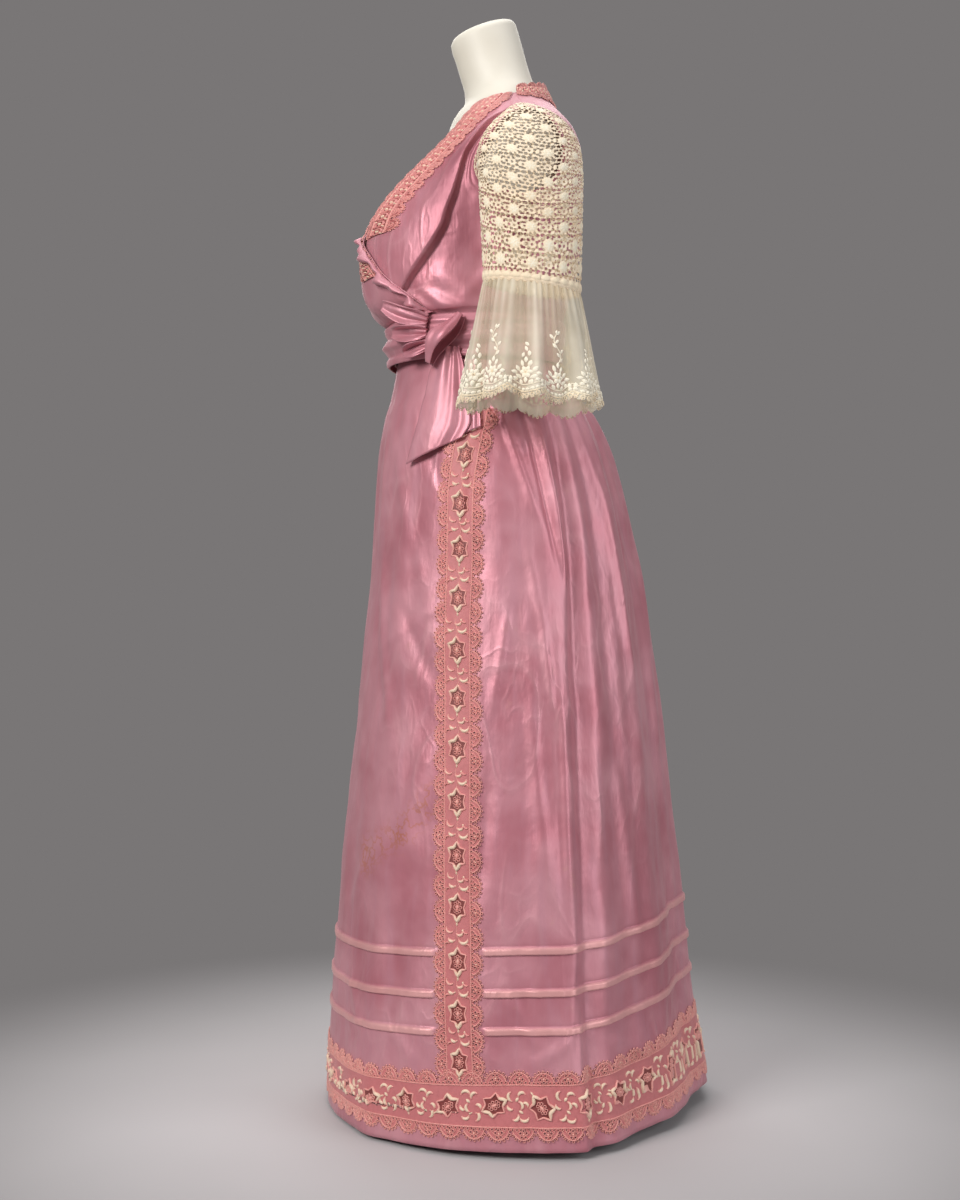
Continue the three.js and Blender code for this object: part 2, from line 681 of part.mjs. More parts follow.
function sleeveRing(k, turnAngle) {
  if (k === 0) return armholeRing(turnAngle);
  const ring = SLEEVE[k - 1];
  const [s, c] = [Math.sin(rad(turnAngle)), Math.cos(rad(turnAngle))];
  const y = ring.y + ring.across * s;
  const slope = k === SLEEVE.length ? -CUFF_SLOPE * (y - ring.y) : 0;
  return new THREE.Vector3(
    ring.x + ring.along * c * Math.cos(rad(ring.tilt)),
    y,
    ring.height + ring.along * c * Math.sin(rad(ring.tilt)) + slope,
  );
}

// The sleeve at a turn round it (0 is the top and outside, 90 the back) and v from armhole (0) to cuff (1).
function sleeveSurface(turnAngle, v) {
  const last = SLEEVE.length;
  const place = clamp(v, 0, 1) * last;
  const k = Math.min(Math.floor(place), last - 1);
  const points = [k - 1, k, k + 1, k + 2].map((m) => sleeveRing(clamp(m, 0, last), turnAngle));
  const spline = new THREE.CatmullRomCurve3(points, false, "catmullrom", 0.5);
  return spline.getPoint((1 + place - k) / 3);
}

// Narrow rows and columns of the lace's grid meet in the largest gaps of each repeat.
const LACE_GRID = { repeats: 5, holeRows: 8, holeShare: 0.3, seam: 0.25 };
function laceSleeve(half, mirror) {
  const { repeats, holeRows, holeShare, seam } = LACE_GRID;
  const places = (count, fill) =>
    Array.from({ length: count }, (_, k) => [
      (k + 0.5 - fill / 2) / count,
      (k + 0.5 + fill / 2) / count,
    ]).flat();
  const us = [0, ...places(repeats, holeShare), 1];
  const vs = [0, ...places(holeRows, holeShare), 1];
  const start = half === "front" ? 180 : 0;
  return sheetWall({
    at: (u, v) => sleeveSurface(lerp(start + seam, start + 180 - seam, u), v),
    us,
    vs,
    thick: LACE,
    flip: true,
    mirror,
    isOpen: (i, j) => i % 2 === 1 && j % 2 === 1,
  });
}
for (const [word, mirror] of [["left", false], ["right", true]]) {
  add(`sleeve_${word}_front`, laceSleeve("front", mirror), ECRU);
  add(`sleeve_${word}_back`, laceSleeve("back", mirror), ECRU);
}

// ---------------------------------------------------------------- net frills
// A flared tube gathered on to the cuff, with waves that grow to a scalloped hem.
function frillSurface(turnAngle, v) {
  const [s, c] = [Math.sin(rad(turnAngle)), Math.cos(rad(turnAngle))];
  const { cuff, hem } = FRILL;
  const open = clamp(v, 0, 1) ** 0.8;
  const wave = FRILL.wave * v * Math.cos(rad(turnAngle * FRILL.waves));
  const x = lerp(cuff.x, hem.x, open) + (lerp(cuff.along, hem.along, open) + wave) * c;
  const y = lerp(cuff.y, hem.y, v) + (lerp(cuff.across, hem.across, open) + wave) * s;
  const slope = -CUFF_SLOPE * (y - cuff.y) * (1 - 0.8 * v);
  return new THREE.Vector3(x, y, lerp(cuff.height, hem.height, v) + slope);
}

function netFrill(mirror) {
  return sheetWall({
    at: (u, v) => {
      const point = frillSurface(u * 360, v);
      point.z -= v >= 0.99 ? FRILL.scallop * Math.abs(Math.sin(rad(u * 360 * FRILL.waves))) : 0;
      return point;
    },
    columns: 40,
    vs: [0, 0.3, 0.65, 1], // closer together at the gathers
    thick: NET,
    flip: true,
    loop: true,
    mirror,
  });
}
add("frill_left", netFrill(false), SHEER);
add("frill_right", netFrill(true), SHEER);

// ---------------------------------------------------------------- sash
const SASH = { low: 1033, high: 1092, least: 4, proud: 15, pleat: 2.2, backShare: 0.35, clear: SATIN + 0.4 };
// How far the sash's inside stands off the bodice or skirt at a height.
function sashStand(angle, height) {
  const t = share(height, SASH.low, SASH.high);
  const belly = Math.sin(Math.PI * (0.12 + 0.76 * t));
  const pleats = SASH.pleat * Math.sin(t * Math.PI * 5 + 0.6 * Math.sin(rad(angle * 2)));
  return lerp(SASH.least, SASH.proud, belly) + pleats;
}
const figureSurface = (angle, height) => (height < WAIST ? skirtSurface : bodiceSurface)(angle, height);
function onFigure(angle, height, out) {
  const row = rowAt(BODICE, Math.max(height, WAIST));
  return pushOut(figureSurface(angle, height), row.side, out);
}
// The sash is fuller in front than behind.
const fullness = (angle) => lerp(SASH.backShare, 1, (1 + Math.cos(rad(angle))) / 2);

// A point inside the sash (out 0) or standing some mm off that.
function onSash(angle, height, out) {
  const held = clamp(height, SASH.low, SASH.high);
  return onFigure(angle, height, SASH.clear + sashStand(angle, held) * fullness(angle) + out);
}

const sashBelt = sheetWall({
  at: (u, v) => onSash(u * 360, lerp(SASH.low, SASH.high, v), 0),
  columns: 34,
  rows: 5,
  thick: SATIN,
  loop: true,
});
add("sash_belt", sashBelt, PINK);

// ---------------------------------------------------------------- bow
// Pieces of the bow are laid over the sash and skirt: each row gives both sides of the ribbon as an angle
// and a height, and how far its inside stands off the figure.
const RIBBON = ["angleA", "heightA", "angleB", "heightB", "out"];
const RIBBON_CUP = 2; // how far a ribbon waves in and out across its width
const TAIL_FRONT = table(RIBBON, [
  [53, 1046, 65, 1046, 18],
  [45, 1012, 66.5, 1012, 13],
  [39, 945, 66.5, 948, 10.5],
  [33, 889, 62, 922, 9],
]);
const TAIL_BACK = table(RIBBON, [
  [62, 1028, 74, 1029.5, 9.6],
  [63, 1004, 73, 1006, 7.4],
  [64, 960, 71.5, 962, 6.8],
  [63.5, 928, 71, 936, 6.4],
]);

function ribbonAt(rows, u, v) {
  const place = clamp(v, 0, 1) * (rows.length - 1);
  const k = Math.min(Math.floor(place), rows.length - 2);
  const mix = (name) => lerp(rows[k][name], rows[k + 1][name], place - k);
  const cup = RIBBON_CUP * Math.sin(Math.PI * u * 2);
  const angle = lerp(mix("angleA"), mix("angleB"), u);
  return onFigure(angle, lerp(mix("heightA"), mix("heightB"), u), mix("out") + cup);
}
const tail = (rows, columns) =>
  sheetWall({ at: (u, v) => ribbonAt(rows, u, v), columns, rows: 6, thick: SATIN, flip: true });
add("sash_tail_front", tail(TAIL_FRONT, 6), PINK);
add("sash_tail_back", tail(TAIL_BACK, 3), PINK);

// A rolled loop of the bow: part of a tube along a line from its top to its tip.
const LOOP = { top: [67, 1087, 6.6], tip: [48, 1022, 15.1], radius: 12, flat: 0.8, bow: 4.5 };
const LOOP_BEND = { from: -35, to: 215 }; // degrees round the loop
function rolledLoop() {
  const [top, tip] = [LOOP.top, LOOP.tip].map((p) => onSash(...p));
  const along = tip.clone().sub(top).normalize();
  const out = normalOf(bodiceSurface, 58, 1060);
  const across = new THREE.Vector3().crossVectors(along, out).normalize();
  const away = new THREE.Vector3().crossVectors(across, along).normalize();
  return sheetWall({
    at: (u, v) => {
      const bend = rad(lerp(LOOP_BEND.from, LOOP_BEND.to, u));
      const radius = LOOP.radius * (0.45 + 0.9 * Math.sin(Math.PI * (0.12 + 0.8 * v)) ** 2);
      const bow = LOOP.bow * Math.sin(Math.PI * v);
      return top
        .clone()
        .lerp(tip, v)
        .addScaledVector(across, -radius * Math.cos(bend))
        .addScaledVector(away, radius * Math.sin(bend) * LOOP.flat + bow);
    },
    columns: 8,
    rows: 6,
    thick: SATIN,
  });
}
add("sash_loop", rolledLoop(), PINK);

// Leaves of the gathered frill beside the bow: root and tip as angle, height and stand-off from the inside of
// the sash, and half width.
const LEAVES = table(
  ["rootAngle", "rootHeight", "rootOut", "tipAngle", "tipHeight", "tipOut", "half", "cup"],
  [
    [45, 1086, 4.2, 27, 1105, 19, 13, 7],
    [45, 1067, 3.2, 22, 1067, 15, 12, 6],
    [46, 1049, 6.2, 31, 1036, 14, 10, 5],
  ],
);
function frillLeaf(leaf) {
  const root = onSash(leaf.rootAngle, leaf.rootHeight, leaf.rootOut);
  const tip = onSash(leaf.tipAngle, leaf.tipHeight, leaf.tipOut);
  const along = tip.clone().sub(root).normalize();
  const out = normalOf(bodiceSurface, (leaf.rootAngle + leaf.tipAngle) / 2, 1070);
  const across = new THREE.Vector3().crossVectors(out, along).normalize();
  const away = new THREE.Vector3().crossVectors(along, across).normalize();
  return sheetWall({
    at: (u, v) => {
      const side = 2 * u - 1;
      const half = leaf.half * (0.3 + 0.7 * Math.sin(Math.PI * clamp(0.1 + 0.82 * v, 0, 1)));
      const lift = leaf.cup * (Math.sin(Math.PI * v) + 0.8 * side * side * Math.sin(Math.PI * v * 0.8));
      return root.clone().lerp(tip, v).addScaledVector(across, side * half).addScaledVector(away, lift);
    },
    columns: 4,
    rows: 5,
    thick: SATIN,
  });
}
LEAVES.forEach((leaf, k) => add(`sash_frill_${k + 1}`, frillLeaf(leaf), PINK));

export default dress;
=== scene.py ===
"""Pink satin day dress on a limbless dress form: the finish and fine form of each piece.

Sizes are in millimetres and become metres only when a mesh is made. +Z is up, the front faces -Y and the
wearer's left is +X. Angles are in degrees round the figure: 0 is the centre front, 90 the wearer's left side,
180 the centre back and -90 the right side.
"""
import math

import bmesh
import bpy
import numpy as np
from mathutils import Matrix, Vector


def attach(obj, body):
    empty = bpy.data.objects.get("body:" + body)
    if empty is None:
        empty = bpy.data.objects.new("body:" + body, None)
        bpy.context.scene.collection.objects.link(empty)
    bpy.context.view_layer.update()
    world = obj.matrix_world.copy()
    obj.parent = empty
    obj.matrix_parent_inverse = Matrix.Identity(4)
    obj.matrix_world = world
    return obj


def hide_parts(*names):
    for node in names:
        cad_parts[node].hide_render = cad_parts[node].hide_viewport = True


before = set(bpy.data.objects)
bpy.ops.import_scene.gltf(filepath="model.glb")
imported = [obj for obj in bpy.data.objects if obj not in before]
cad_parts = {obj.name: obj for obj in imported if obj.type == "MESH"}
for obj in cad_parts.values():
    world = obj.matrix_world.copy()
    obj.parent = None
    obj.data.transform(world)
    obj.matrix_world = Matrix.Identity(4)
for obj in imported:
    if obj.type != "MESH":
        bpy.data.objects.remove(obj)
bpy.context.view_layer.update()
MM = 0.001

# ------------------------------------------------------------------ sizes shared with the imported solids
SATIN = 1.6  # how far the satin stands off the figure's sections
LAID = 0.9  # how far a trim stands off the satin under it
WAIST, HEM = 1040, 11  # heights
SIDE = 90  # angle of the side


def table(names, rows):
    """A short table as a dictionary with one array for each named column."""
    return dict(zip(names.split(), np.array(rows, float).T))


# Level sections: depth in front, behind and at the widest, half the width, and the power of the curve behind.
SECTION = "height front back side half sharp"
SKIRT = table(SECTION, [
    [4, -220, 330, 54, 288, 1.42], [60, -219, 321, 50, 284, 1.44], [137, -214, 305, 44, 276, 1.48],
    [194, -211, 296, 42, 270, 1.5], [251, -205, 289, 41, 262, 1.54], [384, -195, 271, 38, 244, 1.62],
    [566, -175, 247, 35, 218, 1.74], [657, -167, 232, 32, 206, 1.8], [748, -157, 217, 30, 194, 1.86],
    [839, -152, 197, 22, 182, 1.92], [911, -147, 175, 14, 170, 1.96], [965, -138, 149, 6, 156, 2],
    [986, -131, 131, 0, 148, 2], [1040, -122, 100, -10, 128, 2],
])
BODICE = table(SECTION, [
    [1040, -122, 100, -10, 128, 2], [1094, -126, 106, -8, 132, 2], [1104, -145, 108, -6, 135, 2],
    [1118, -160.5, 111, -5, 138, 2], [1150, -168, 118, -4, 142, 2], [1190, -170, 128, -1, 145, 2],
    [1225, -165, 132, 2, 147, 2], [1250, -154, 134, 6, 149, 2], [1282, -131, 135, 13, 153, 2],
    [1308, -107, 134, 16, 159, 2], [1334, -82, 131, 19, 164, 2], [1354, -66, 124, 21, 158, 2],
    [1366, -60, 118, 21, 146, 2], [1386, -52, 106, 22, 112, 2], [1412, -30, 90, 25, 76, 2],
    [1440, -27, 80, 27, 63, 2],
])
# Long folds of the skirt: angle at waist and hem, stand at waist, hip and hem, and its share on the right.
FOLDS = table("waist hem at_waist at_hip at_hem right", [
    [0, 0, 0, 0, 0, 1], [9, 11, 0, -1, -3, -0.6], [18, 21, 0, 0, 1, 1], [28, 31, 0, 2, 4, 0.7],
    [38, 41, 0, 0, 0, 1], [88, 77, 0, -2, -6, 0.8], [92, 84, 0, 0, -1, 1], [97, 91, 0, 2, 3, 0.9],
    [105, 97, 3, 4, 6, 0.8], [111, 102, -5, -7, -5, 0.8], [117, 110, -2, 1, 2, 1],
    [123, 119, -8, -5, -3, 0.8], [129, 126, -2, 0, 0, 1], [135, 132, 4, 4, 4, 1], [142, 139, -4, -1, 0, 1],
    [148, 147, -9, -6, -5, 0.8], [154, 153, -2, 0, 0, 1], [160, 159, 5, 4, 4, 0.8], [166, 165, -3, -1, 0, 1],
    [172, 171, -8, -5, -5, 0.9], [180, 180, -2, -2, -2, 1],
])
HIP = 0.25  # the hip's place on the way down the skirt
BAND_PATH = table("height angle", [
    [60, 60], [250, 59.5], [450, 58.8], [700, 57.6], [840, 59.5], [900, 63], [960, 69], [990, 71],
])
TUCKS = (156, 203, 255)  # heights of the tucks' lower edges
TUCK_DEEP, TUCK_PROUD = 11, 3.0
LINE_DROP, LINE_RISE = 18, 32  # how far the lines round the skirt drop in front and rise behind
# A front's rows: the angle and height of its free edge, the side's height, the angles of trim and two folds,
# and how deep the folds are.
FRONT_ROW = "edge edge_height side_height trim fold_a fold_b deep_a deep_b"
UPPER_FRONT = [
    [0, 1208, 1206, 33, 61.5, 79.5, 9, 5], [5, 1225, 1228, 35, 62.5, 78, 8, 5],
    [9, 1244, 1250, 37, 63, 77, 8, 4], [12, 1262, 1264, 40, 62, 69, 7, 2],
    [16, 1282, 1284, 43, 60, 64.5, 6, 0], [20, 1304, 1308, 45.5, 57.5, 62, 5, 0],
    [23, 1324, 1334, 49.5, 59.5, 64, 4, 0], [26, 1340, 1352, 54, 65, 70, 3, 0],
    [29, 1352, 1366, 61, 74, 82, 2, 0], [35, 1366, 1388, 79, 83, 87, 0, 0],
    [50, 1386, 1402, 85, 87, 88.6, 0, 0],
]
LEFT_FRONT = table(FRONT_ROW, [
    [-9, 1040.3, 1040.3, 12, 30, 78, 0, 0], [-9, 1094, 1094, 13, 32, 79, 0, 0],
    [-9, 1104, 1104, 14, 33, 79.5, 2, 1], [-9, 1118, 1118, 15, 36, 80, 5, 2],
    [-9, 1150, 1150, 17, 47.5, 80.5, 8, 4], [-9, 1182, 1182, 21, 57, 80.5, 9, 5], *UPPER_FRONT,
])
RIGHT_FRONT = table(FRONT_ROW, [
    [-56, 1040.3, 1040.3, -36, 0, 46, 0, 0], [-52, 1094, 1094, -32, 2, 47, 0, 0],
    [-48, 1104, 1104, -26, 5, 48, 1, 1], [-43, 1118, 1118, -16, 11, 51, 3, 3],
    [-27, 1150, 1150, 0, 24, 58, 4, 4], [-14, 1182, 1182, 16, 39, 68, 4, 4],
    *[[*row[:6], row[6] * 0.6, row[7] * 0.8] for row in UPPER_FRONT],
])
ARMHOLE = {"height": 1308, "rise": 58, "forward": 24, "backward": 30}
NAPE_RISE = 17  # how far the back rises from the shoulders to the nape
# Rings of a sleeve: middle, slope in degrees, and half its width from front to back and across.
SLEEVE = table("x y height tilt across along", [
    [182, 20, 1293, 63, 67, 56], [197, 19, 1263, 39, 68, 50.5], [203, 18, 1228, 12, 67, 44],
    [207, 18, 1176, 2, 65, 43], [211, 17, 1113, 0, 63, 43],
])
CUFF_SLOPE = 0.12  # rise of the cuff towards the front
FRILL_TOP, FRILL_HEM = 1112.2, 964  # heights
# Ellipses of the dress form. rise tilts them backwards up the neck.
FORM = table("height front back side half rise", [
    [905, -118, 112, -2, 140, 0], [960, -116, 108, -4, 136, 0], [1040, -104, 86, -8, 114, 0],
    [1100, -112, 92, -6, 122, 0], [1150, -140, 104, -4, 132, 0], [1190, -150, 114, -2, 137, 0],
    [1225, -148, 120, 2, 139, 0], [1250, -141, 123, 6, 141, 0], [1282, -122, 125, 13, 145, 0],
    [1308, -102, 126, 16, 152, 0], [1334, -79, 124, 19, 157, 0], [1354, -59, 119, 21, 150.5, 0],
    [1366, -52, 113, 21, 136.5, 0], [1386, -45, 101, 22, 104.5, 0], [1400, -36, 94, 23, 89, 0],
    [1412, -27, 83, 25, 70, 0.02], [1430, -28, 72, 21, 56, 0.06], [1450, -33, 63, 15, 51, 0.14],
    [1480, -41, 53, 6, 48, 0.24], [1508, -48, 43, -2, 47, 0.34], [1515, -46, 39, -3, 43, 0.34],
])


# ------------------------------------------------------------------ small maths
def mix(a, b, t):
    """The value a share t of the way from a to b."""
    return a + (b - a) * t


def share(x, a, b):
    """How far x is from a to b, held between 0 and 1."""
    return np.clip((x - a) / (b - a), 0, 1)


def ease(x, a, b):
    """share() with a soft start and end."""
    t = share(x, a, b)
    return t * t * (3 - 2 * t)


def bell(x, width):
    """A soft hump of height 1 at x = 0."""
    return np.exp(-((x / width) ** 2))


def through(places, values, at):
    """A cubic through (place, value) points that never overshoots: each slope is the harmonic mean of the
    rises to both sides, or 0 where they turn."""
    gap = np.diff(places)
    rise = np.diff(values) / gap
    pairs = rise[1:] * rise[:-1]
    inner = np.where(pairs > 0, 2 * pairs / (rise[1:] + rise[:-1] + (pairs <= 0)), 0)
    slope = np.r_[rise[0], inner, rise[-1]]
    k = np.clip(np.searchsorted(places, at) - 1, 0, len(gap) - 1)
    t = (at - places[k]) / gap[k]
    a, b, m, n = values[k], values[k + 1], slope[k] * gap[k], slope[k + 1] * gap[k]
    return a + t * (m + t * (3 * (b - a) - 2 * m - n + t * (m + n - 2 * (b - a))))


def spline(count, place):
    """Catmull-Rom curve through `count` points: the weights and the indices of the four points near a
    fractional index."""
    last = count - 1
    k = np.clip(np.floor(place).astype(int), 0, last - 1)
    t = np.clip(place, 0, last) - k
    weights = [
        (-t + 2 * t**2 - t**3) / 2, (2 - 5 * t**2 + 3 * t**3) / 2,
        (t + 4 * t**2 - 3 * t**3) / 2, (-(t**2) + t**3) / 2,
    ]
    return weights, [np.clip(k + step, 0, last) for step in (-1, 0, 1, 2)]


def smooth_net(net, row, column):
    """Catmull-Rom surface through a net of values (rows x columns x n) at fractional rows and columns."""
    row, column = np.broadcast_arrays(row, column)
    down, rows = spline(net.shape[0], row)
    across, columns = spline(net.shape[1], column)
    total = 0
    for wi, i in zip(down, rows):
        for wj, j in zip(across, columns):
            total = total + (wi * wj)[..., None] * net[i, j]
    return total


def uneven(x, y, wide, high, seed):
    """Smooth uneven bumps from -1 to 1, about `wide` by `high`: seeded heights on a lattice, eased."""
    lattice = 64
    heights = np.random.default_rng(seed).uniform(-1, 1, (lattice, lattice))
    x, y = np.broadcast_arrays(x / wide, y / high)
    i, j = np.floor(x).astype(int), np.floor(y).astype(int)
    s, t = ease(x - i, 0, 1), ease(y - j, 0, 1)
    at = lambda a, b: heights[(i + a) % lattice, (j + b) % lattice]
    return mix(mix(at(0, 0), at(1, 0), s), mix(at(0, 1), at(1, 1), s), t)


def from_line(x, y, x1, y1, x2, y2):
    """Signed distance from the line between two points, and how far along it: 0 to 1 between the points."""
    dx, dy = x2 - x1, y2 - y1
    length = math.hypot(dx, dy)
    along = ((x - x1) * dx + (y - y1) * dy) / length**2
    off = ((x - x1) * dy - (y - y1) * dx) / length
    return off, along


def creased(x, y, creases):
    """Sum of soft straight creases: bells across that fade at both ends. A trough's depth is below 0."""
    total = np.zeros(np.broadcast(x, y).shape)
    for x1, y1, x2, y2, width, depth in creases:
        off, along = from_line(x, y, x1, y1, x2, y2)
        ends = ease(along, -0.15, 0.2) * (1 - ease(along, 0.75, 1.15))
        total += depth * ends * bell(off, width)
    return total


def turned(angle):
    """An angle between -180 and 180."""
    return (angle + 180) % 360 - 180


def unit(vectors):
    """Vectors at length 1."""
    return vectors / np.maximum(np.linalg.norm(vectors, axis=-1, keepdims=True), 1e-9)


def arc_lengths(path):
    """Length of a path up to each of its points."""
    return np.r_[0, np.cumsum(np.linalg.norm(np.diff(path, axis=0), axis=-1))]


# ------------------------------------------------------------------ surfaces of the figure
def section(rows, angle, height):
    """Point of a level section, and the depth of its middle: half an ellipse in front, and half a
    superellipse behind."""
    angle, height = np.broadcast_arrays(np.asarray(angle, float), np.asarray(height, float))
    at = {name: through(rows["height"], values, height) for name, values in rows.items()}
    s, c = np.sin(np.radians(angle)), np.cos(np.radians(angle))
    power = np.where(c > 0, 1, 2 / at["sharp"])
    depth = np.where(c > 0, at["side"] - at["front"], at["back"] - at["side"])
    x = at["half"] * np.sign(s) * np.abs(s) ** power
    y = at["side"] - depth * np.sign(c) * np.abs(c) ** power
    return np.stack([x, y, height], -1), at["side"]


def pushed_out(point, middle_y, distance):
    """Moves points level and straight out from the figure's middle line."""
    out = unit(point - np.stack([np.zeros_like(middle_y), middle_y, point[..., 2]], -1))
    return point + out * distance[..., None]


def normal_of(surface, angle, height):
    """Outward normal of a surface of (angle, height), from small steps each way."""
    degree, rise = 0.4, 1.5
    around = surface(angle + degree, height) - surface(angle - degree, height)
    up = surface(angle, height + rise) - surface(angle, height - rise)
    return unit(np.cross(around, up))


def band_angle(height):
    """Angle of the middle of the side bands."""
    return through(BAND_PATH["height"], BAND_PATH["angle"], np.asarray(height, float))


def fold_stand(angle, height):
    """How far the skirt stands out at its long folds: eased steps between the fold lines."""
    drop = share(WAIST - height, 0, WAIST - HEM)
    lines = mix(FOLDS["waist"], FOLDS["hem"], np.sqrt(drop)[..., None])
    upper = mix(FOLDS["at_waist"], FOLDS["at_hip"], share(drop, 0, HIP)[..., None])
    stand = mix(upper, FOLDS["at_hem"], share(drop, HIP, 1)[..., None])
    stand = stand * np.where(angle[..., None] < 0, FOLDS["right"], 1)
    k = np.clip((np.abs(angle)[..., None] >= lines).sum(-1) - 1, 0, len(FOLDS["waist"]) - 2)[..., None]
    pick = lambda values, j: np.take_along_axis(values, j, -1)[..., 0]
    t = ease(np.abs(angle), pick(lines, k), pick(lines, k + 1))
    return mix(pick(stand, k), pick(stand, k + 1), t) * ease(WAIST - height, 0, 40)


# Creases of the skirt, as (angle, height) ends, width and depth.
LEFT_CREASES = [
    [72, 985, 84, 930, 5, -2.5], [74, 960, 96, 905, 6, 2], [80, 985, 92, 820, 7, 3],
    [66, 905, 60, 780, 6, -1.6], [93, 980, 99, 760, 6, -4], [100, 940, 103, 690, 5, 3],
    [87, 760, 94, 560, 7, 2], [78, 700, 70, 560, 6, 1.6], [84, 560, 88, 330, 8, 2.2],
    [70, 480, 66, 330, 8, -2], [97, 600, 97, 300, 6, 2], [74, 205, 84, 130, 8, 2.2],
    [93, 150, 80, 118, 6, 2], [100, 240, 96, 120, 6, -1.6], [66, 140, 72, 110, 6, 1.5],
    [20, 930, 44, 700, 12, 1.2], [36, 965, 50, 860, 8, -1], [12, 760, 30, 520, 10, 1.8],
    [48, 520, 36, 330, 11, 1.3], [30, 700, 48, 600, 9, -1.2], [50, 700, 20, 640, 7, 1.2],
    [16, 205, 26, 125, 8, 2], [38, 145, 46, 112, 7, 2], [26, 150, 18, 112, 6, -1.8],
    [30, 400, 12, 300, 9, 1.5], [128, 900, 134, 600, 8, 3], [146, 960, 141, 700, 7, -3],
    [120, 500, 126, 260, 9, 2.4], [158, 760, 150, 480, 9, 2.2], [112, 140, 124, 116, 7, 2],
    [140, 210, 133, 120, 8, 2],
]
RIGHT_CREASES = [
    [74, 975, 82, 900, 6, 2.2], [92, 960, 100, 740, 7, -3], [84, 700, 90, 470, 8, 2.4],
    [70, 420, 76, 260, 9, -1.8], [22, 900, 40, 690, 9, 2.4], [34, 540, 20, 360, 10, 2],
    [46, 205, 38, 120, 8, 2], [84, 160, 94, 120, 7, 2],
    [126, 880, 132, 560, 8, 2.6], [150, 930, 144, 660, 7, -2.6], [120, 420, 126, 230, 9, 2.2],
    [18, 150, 28, 116, 7, 1.8], [60, 640, 48, 560, 8, 1.4],
]
MM_PER_DEGREE = 3.6  # of the skirt's round, about its middle


def crease_rows(rows, mm_per_degree):
    """Creases with their angles turned to mm round the figure."""
    return [[a * mm_per_degree, z, b * mm_per_degree, w, *rest] for a, z, b, w, *rest in rows]


def skirt_relief(angle, height):
    """Creases and puckers of the satin, on each side its own."""
    x = np.abs(angle) * MM_PER_DEGREE
    left = creased(x, height, crease_rows(LEFT_CREASES, MM_PER_DEGREE))
    right = creased(x, height, crease_rows(RIGHT_CREASES, MM_PER_DEGREE))
    mixed = mix(right, left, ease(angle, -6, 6))
    soft = 2.0 * uneven(angle * MM_PER_DEGREE, height, 34, 120, 3)
    fine = 0.8 * uneven(angle * MM_PER_DEGREE, height, 16, 38, 4)
    return (1.5 * mixed + soft + fine) * ease(WAIST - height, 4, 60)


def skirt(angle, height):
    """The outside of the satin skirt at an angle and a height."""
    angle, height = np.broadcast_arrays(turned(np.asarray(angle, float)), np.asarray(height, float))
    point, middle = section(SKIRT, angle, height)
    return pushed_out(point, middle, SATIN + fold_stand(angle, height) + skirt_relief(angle, height))


def bodice(angle, height):
    """The figure's surface above the waist, under the satin."""
    return section(BODICE, angle, height)[0]


def round_line(height, angle):
    """A line round the skirt given by its height at the sides: lower in front and higher behind."""
    c = np.cos(np.radians(angle))
    pull = np.where(height < 60, 0.45, 1 - ease(height, 320, 800))
    return height + pull * np.where(c > 0, -LINE_DROP, LINE_RISE) * c * c


# ------------------------------------------------------------------ meshes
def piece(name, points, faces, finish, stands_for=(), tone=None, mirrored=False):
    """A mesh of quads from points in mm. It rides on the one body and stands for the named solids. tone is a
    number from 0 to 1 at each point, which its material reads."""
    mesh = bpy.data.meshes.new(name)
    points = np.asarray(points, float).reshape(-1, 3)
    faces = np.asarray(faces, np.int32).reshape(-1, 4)
    used, faces = np.unique(faces, return_inverse=True)
    points, faces = points[used], faces.reshape(-1, 4)
    if mirrored:
        faces = faces[:, ::-1]
    mesh.vertices.add(len(points))
    mesh.vertices.foreach_set("co", (points * MM).astype(np.float32).ravel())
    mesh.loops.add(faces.size)
    mesh.loops.foreach_set("vertex_index", np.ascontiguousarray(faces, np.int32).ravel())
    mesh.polygons.add(len(faces))
    mesh.polygons.foreach_set("loop_start", np.arange(0, faces.size, 4, dtype=np.int32))
    mesh.polygons.foreach_set("use_smooth", np.ones(len(faces), bool))
    if tone is not None:
        values = np.asarray(tone, np.float32).ravel()[used]
        mesh.attributes.new("tone", "FLOAT", "POINT").data.foreach_set("value", values)
    mesh.update(calc_edges=True)
    mesh.materials.append(finish)
    made = bpy.data.objects.new(name, mesh)
    bpy.context.scene.collection.objects.link(made)
    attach(made, "root")
    if stands_for:
        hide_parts(*stands_for)
    return made


def grid_faces(rows, columns, closed=False):
    """Quads of a grid of rows x columns points, in rows. closed joins its last column to its first."""
    i, j = np.meshgrid(np.arange(rows - 1), np.arange(columns if closed else columns - 1), indexing="ij")
    k = (j + 1) % columns
    return np.stack([i * columns + j, i * columns + k, (i + 1) * columns + k, (i + 1) * columns + j], -1)


def cloth(name, points, finish, stands_for=(), closed=False, mirrored=False, tone=None, thick=0):
    """A piece from a grid of points. thick gives it a wall, inwards."""
    rows, columns = points.shape[:2]
    made = piece(name, points, grid_faces(rows, columns, closed), finish, stands_for, tone, mirrored)
    if thick:
        wall = made.modifiers.new("wall", "SOLIDIFY")
        wall.thickness = thick * MM
        wall.offset = -1
    return made


def cut_faces(keep):
    """Quads of a grid whose cells are kept where the array is true."""
    rows, columns = keep.shape
    return grid_faces(rows + 1, columns + 1)[keep]


